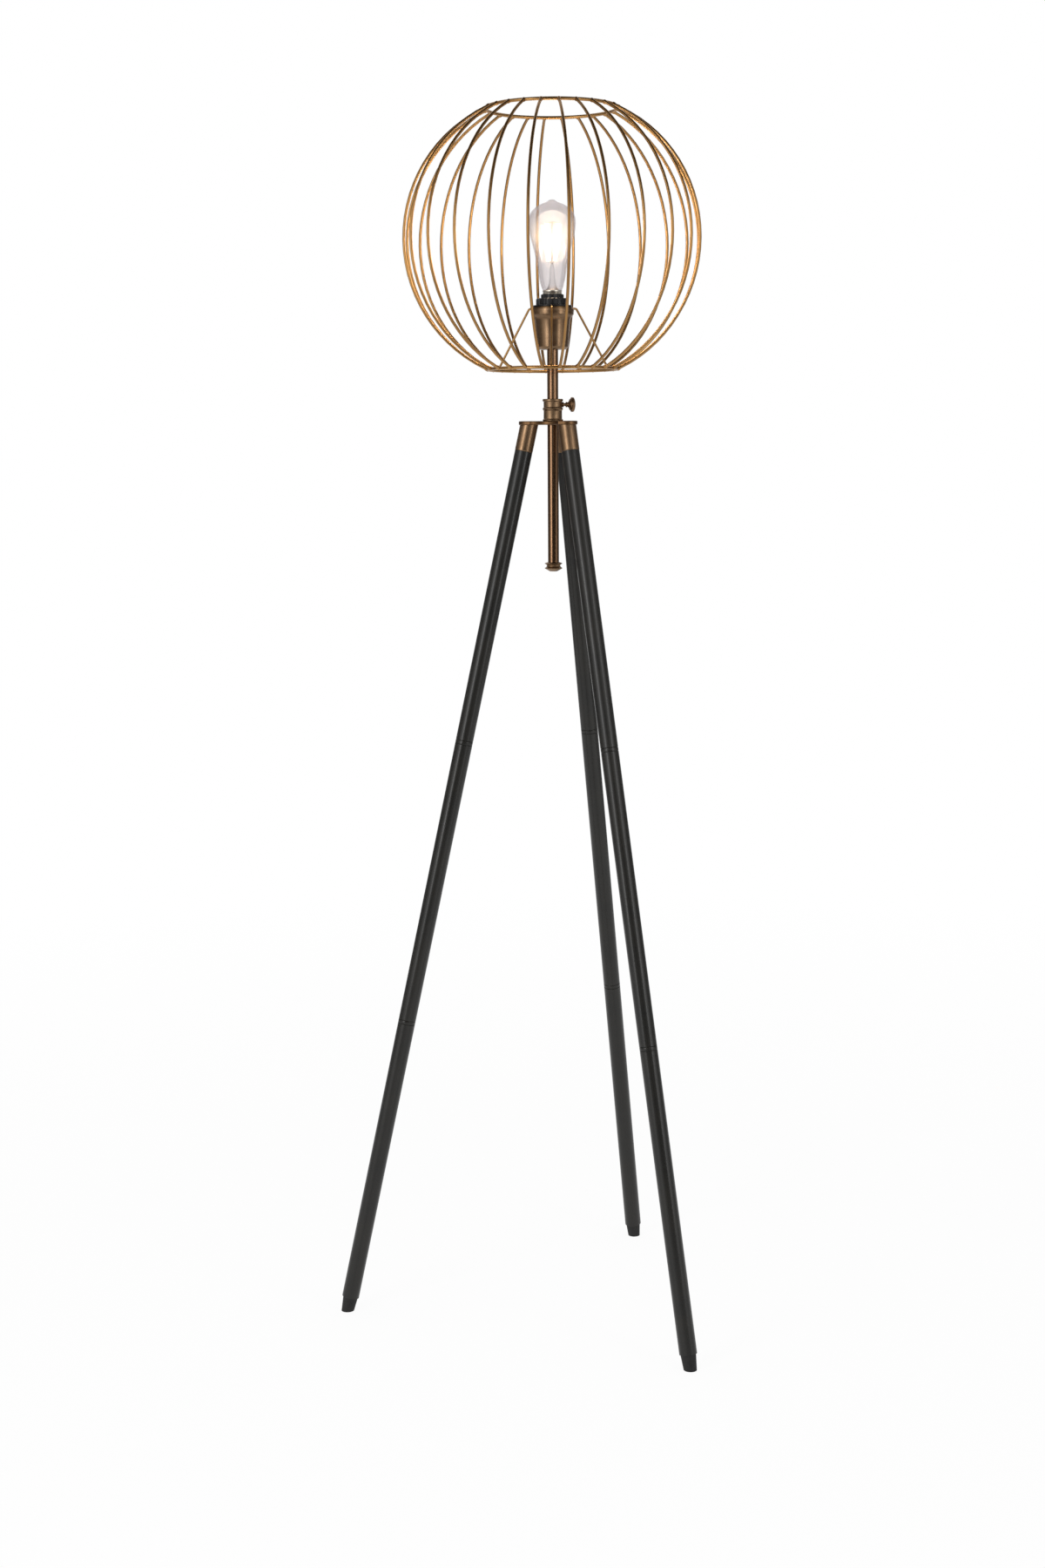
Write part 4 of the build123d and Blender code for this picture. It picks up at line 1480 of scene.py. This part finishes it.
@dataclass
class Studio:
    """The camera, the floor, the lamps and the white surround. Metres."""

    camera_at: Place = (-0.3330, -3.0519, 1.2135)
    heading: float = -5.4
    dip: float = 8.58
    roll: float = -0.0066
    lens: float = 51.49
    fill: float = 0.8
    middle_z: float = 1.1
    floor_size: float = 24.0
    floor_z: float = -0.0002

    def aim(self, at: Place, front: str) -> Matrix:
        """Stands something at a place with its front, such as Z, towards the lamp's middle."""
        towards = (Vector((0, 0, self.middle_z)) - Vector(at)).to_track_quat(front, "Y")
        return Matrix.Translation(at) @ towards.to_matrix().to_4x4()

    def place_camera(self) -> None:
        """Puts the camera where the photograph was taken from."""
        data = bpy.data.cameras.new("photo_view")
        data.sensor_fit = "VERTICAL"
        data.sensor_height = 36.0
        data.lens = self.lens
        camera = add_object("photo_view", data)
        heading = Matrix.Rotation(math.radians(self.heading), 4, "Z")
        dip = Matrix.Rotation(math.radians(90.0 - self.dip), 4, "X")
        turn = heading @ dip @ Matrix.Rotation(self.roll, 4, "Z")
        camera.matrix_world = Matrix.Translation(self.camera_at) @ turn
        bpy.context.scene.camera = camera

    def light(self) -> None:
        """Adds the two window lamps and the white surround."""
        for name, at, wide, tall, power in (
            ("window_left", (-2.16, -2.08, 1.5), 0.8, 2.2, 29.0),
            ("window_right", (1.85, -2.36, 1.4), 0.6, 2.0, 14.0),
        ):
            data = bpy.data.lights.new(name, "AREA")
            data.shape = "RECTANGLE"
            data.size, data.size_y = wide, tall
            data.energy = power
            add_object(name, data).matrix_world = self.aim(at, "-Z")
        world = bpy.data.worlds.new("white_surround")
        bpy.context.scene.world = world
        world.use_nodes = True
        g = Graph(world.node_tree)
        strength = g.spread(g.seen(), 0.0, 1.0, self.fill, 1.0)
        background = g.node("ShaderNodeBackground", {"Color": WHITE, "Strength": strength})
        g.node("ShaderNodeOutputWorld", {"Surface": background.outputs[0]})

    def lay_floor(self) -> None:
        """Lays the pale floor, which keeps the lamp's shadow."""
        deselect()
        bpy.ops.mesh.primitive_plane_add(size=self.floor_size, location=(0, 0, self.floor_z))
        floor = bpy.context.object
        floor.name = "studio_floor"
        material, g, at = begin_material("pale_floor")
        matt = g.node("ShaderNodeBsdfDiffuse", {"Color": (0.85, 0.85, 0.85, 1.0)})
        white = g.node("ShaderNodeEmission", {"Color": WHITE, "Strength": 1.0})
        away = g.node("ShaderNodeVectorMath", {0: at}, operation="LENGTH").outputs["Value"]
        share = g.times(g.seen(), g.spread(away, 0.8, 3.0, 0.93, 1.0))
        g.finish(g.node("ShaderNodeMixShader", {0: share, 1: matt.outputs[0], 2: white.outputs[0]}))
        dress(floor, material)

    def hang_cards(self) -> None:
        """Hangs dark cards round the lamp, unseen by the camera, for the dark edges of round metal."""
        greys = {}
        for shade, level in (("grey_card", 0.28), ("dark_card", 0.05)):
            greys[shade], g, _ = begin_material(shade)
            g.finish(g.node("ShaderNodeBsdfDiffuse", {"Color": (level, level, level, 1.0)}))
        for name, at, wide, tall, shade in (
            ("card_left", (-2.38, 1.27, 1.3), 4.0, 3.4, "grey_card"),
            ("card_right", (2.6, 0.74, 1.3), 4.0, 3.4, "grey_card"),
            ("card_behind_camera", (-0.47, -4.4, 1.3), 1.5, 3.4, "grey_card"),
            ("card_ceiling", (0.0, -0.8, 3.4), 6.0, 5.0, "dark_card"),
            ("card_low", (-0.2, -2.4, 0.01), 4.4, 2.8, "dark_card"),
        ):
            deselect()
            bpy.ops.mesh.primitive_plane_add(size=1.0)
            card = bpy.context.object
            card.name = name
            card.matrix_world = self.aim(at, "Z") @ Matrix.Diagonal((wide, tall, 1.0, 1.0))
            settle(card)
            for ray in ("camera", "transmission", "shadow", "diffuse"):
                setattr(card, f"visible_{ray}", False)
            dress(card, greys[shade])


def main() -> None:
    """Builds the lamp's looks in order."""
    logging.basicConfig(level=logging.INFO, format="%(name)s: %(message)s")
    bpy.context.scene.view_settings.view_transform = "Standard"
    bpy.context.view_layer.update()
    studio = Studio()
    studio.place_camera()
    for assembly in (Cage(), Lampholder(), Bulb(), Hub(), Legs()):
        assembly.build()
        log.info("%s is built", type(assembly).__name__)
    studio.lay_floor()
    studio.hang_cards()
    studio.light()


if __name__ == "__main__":
    main()
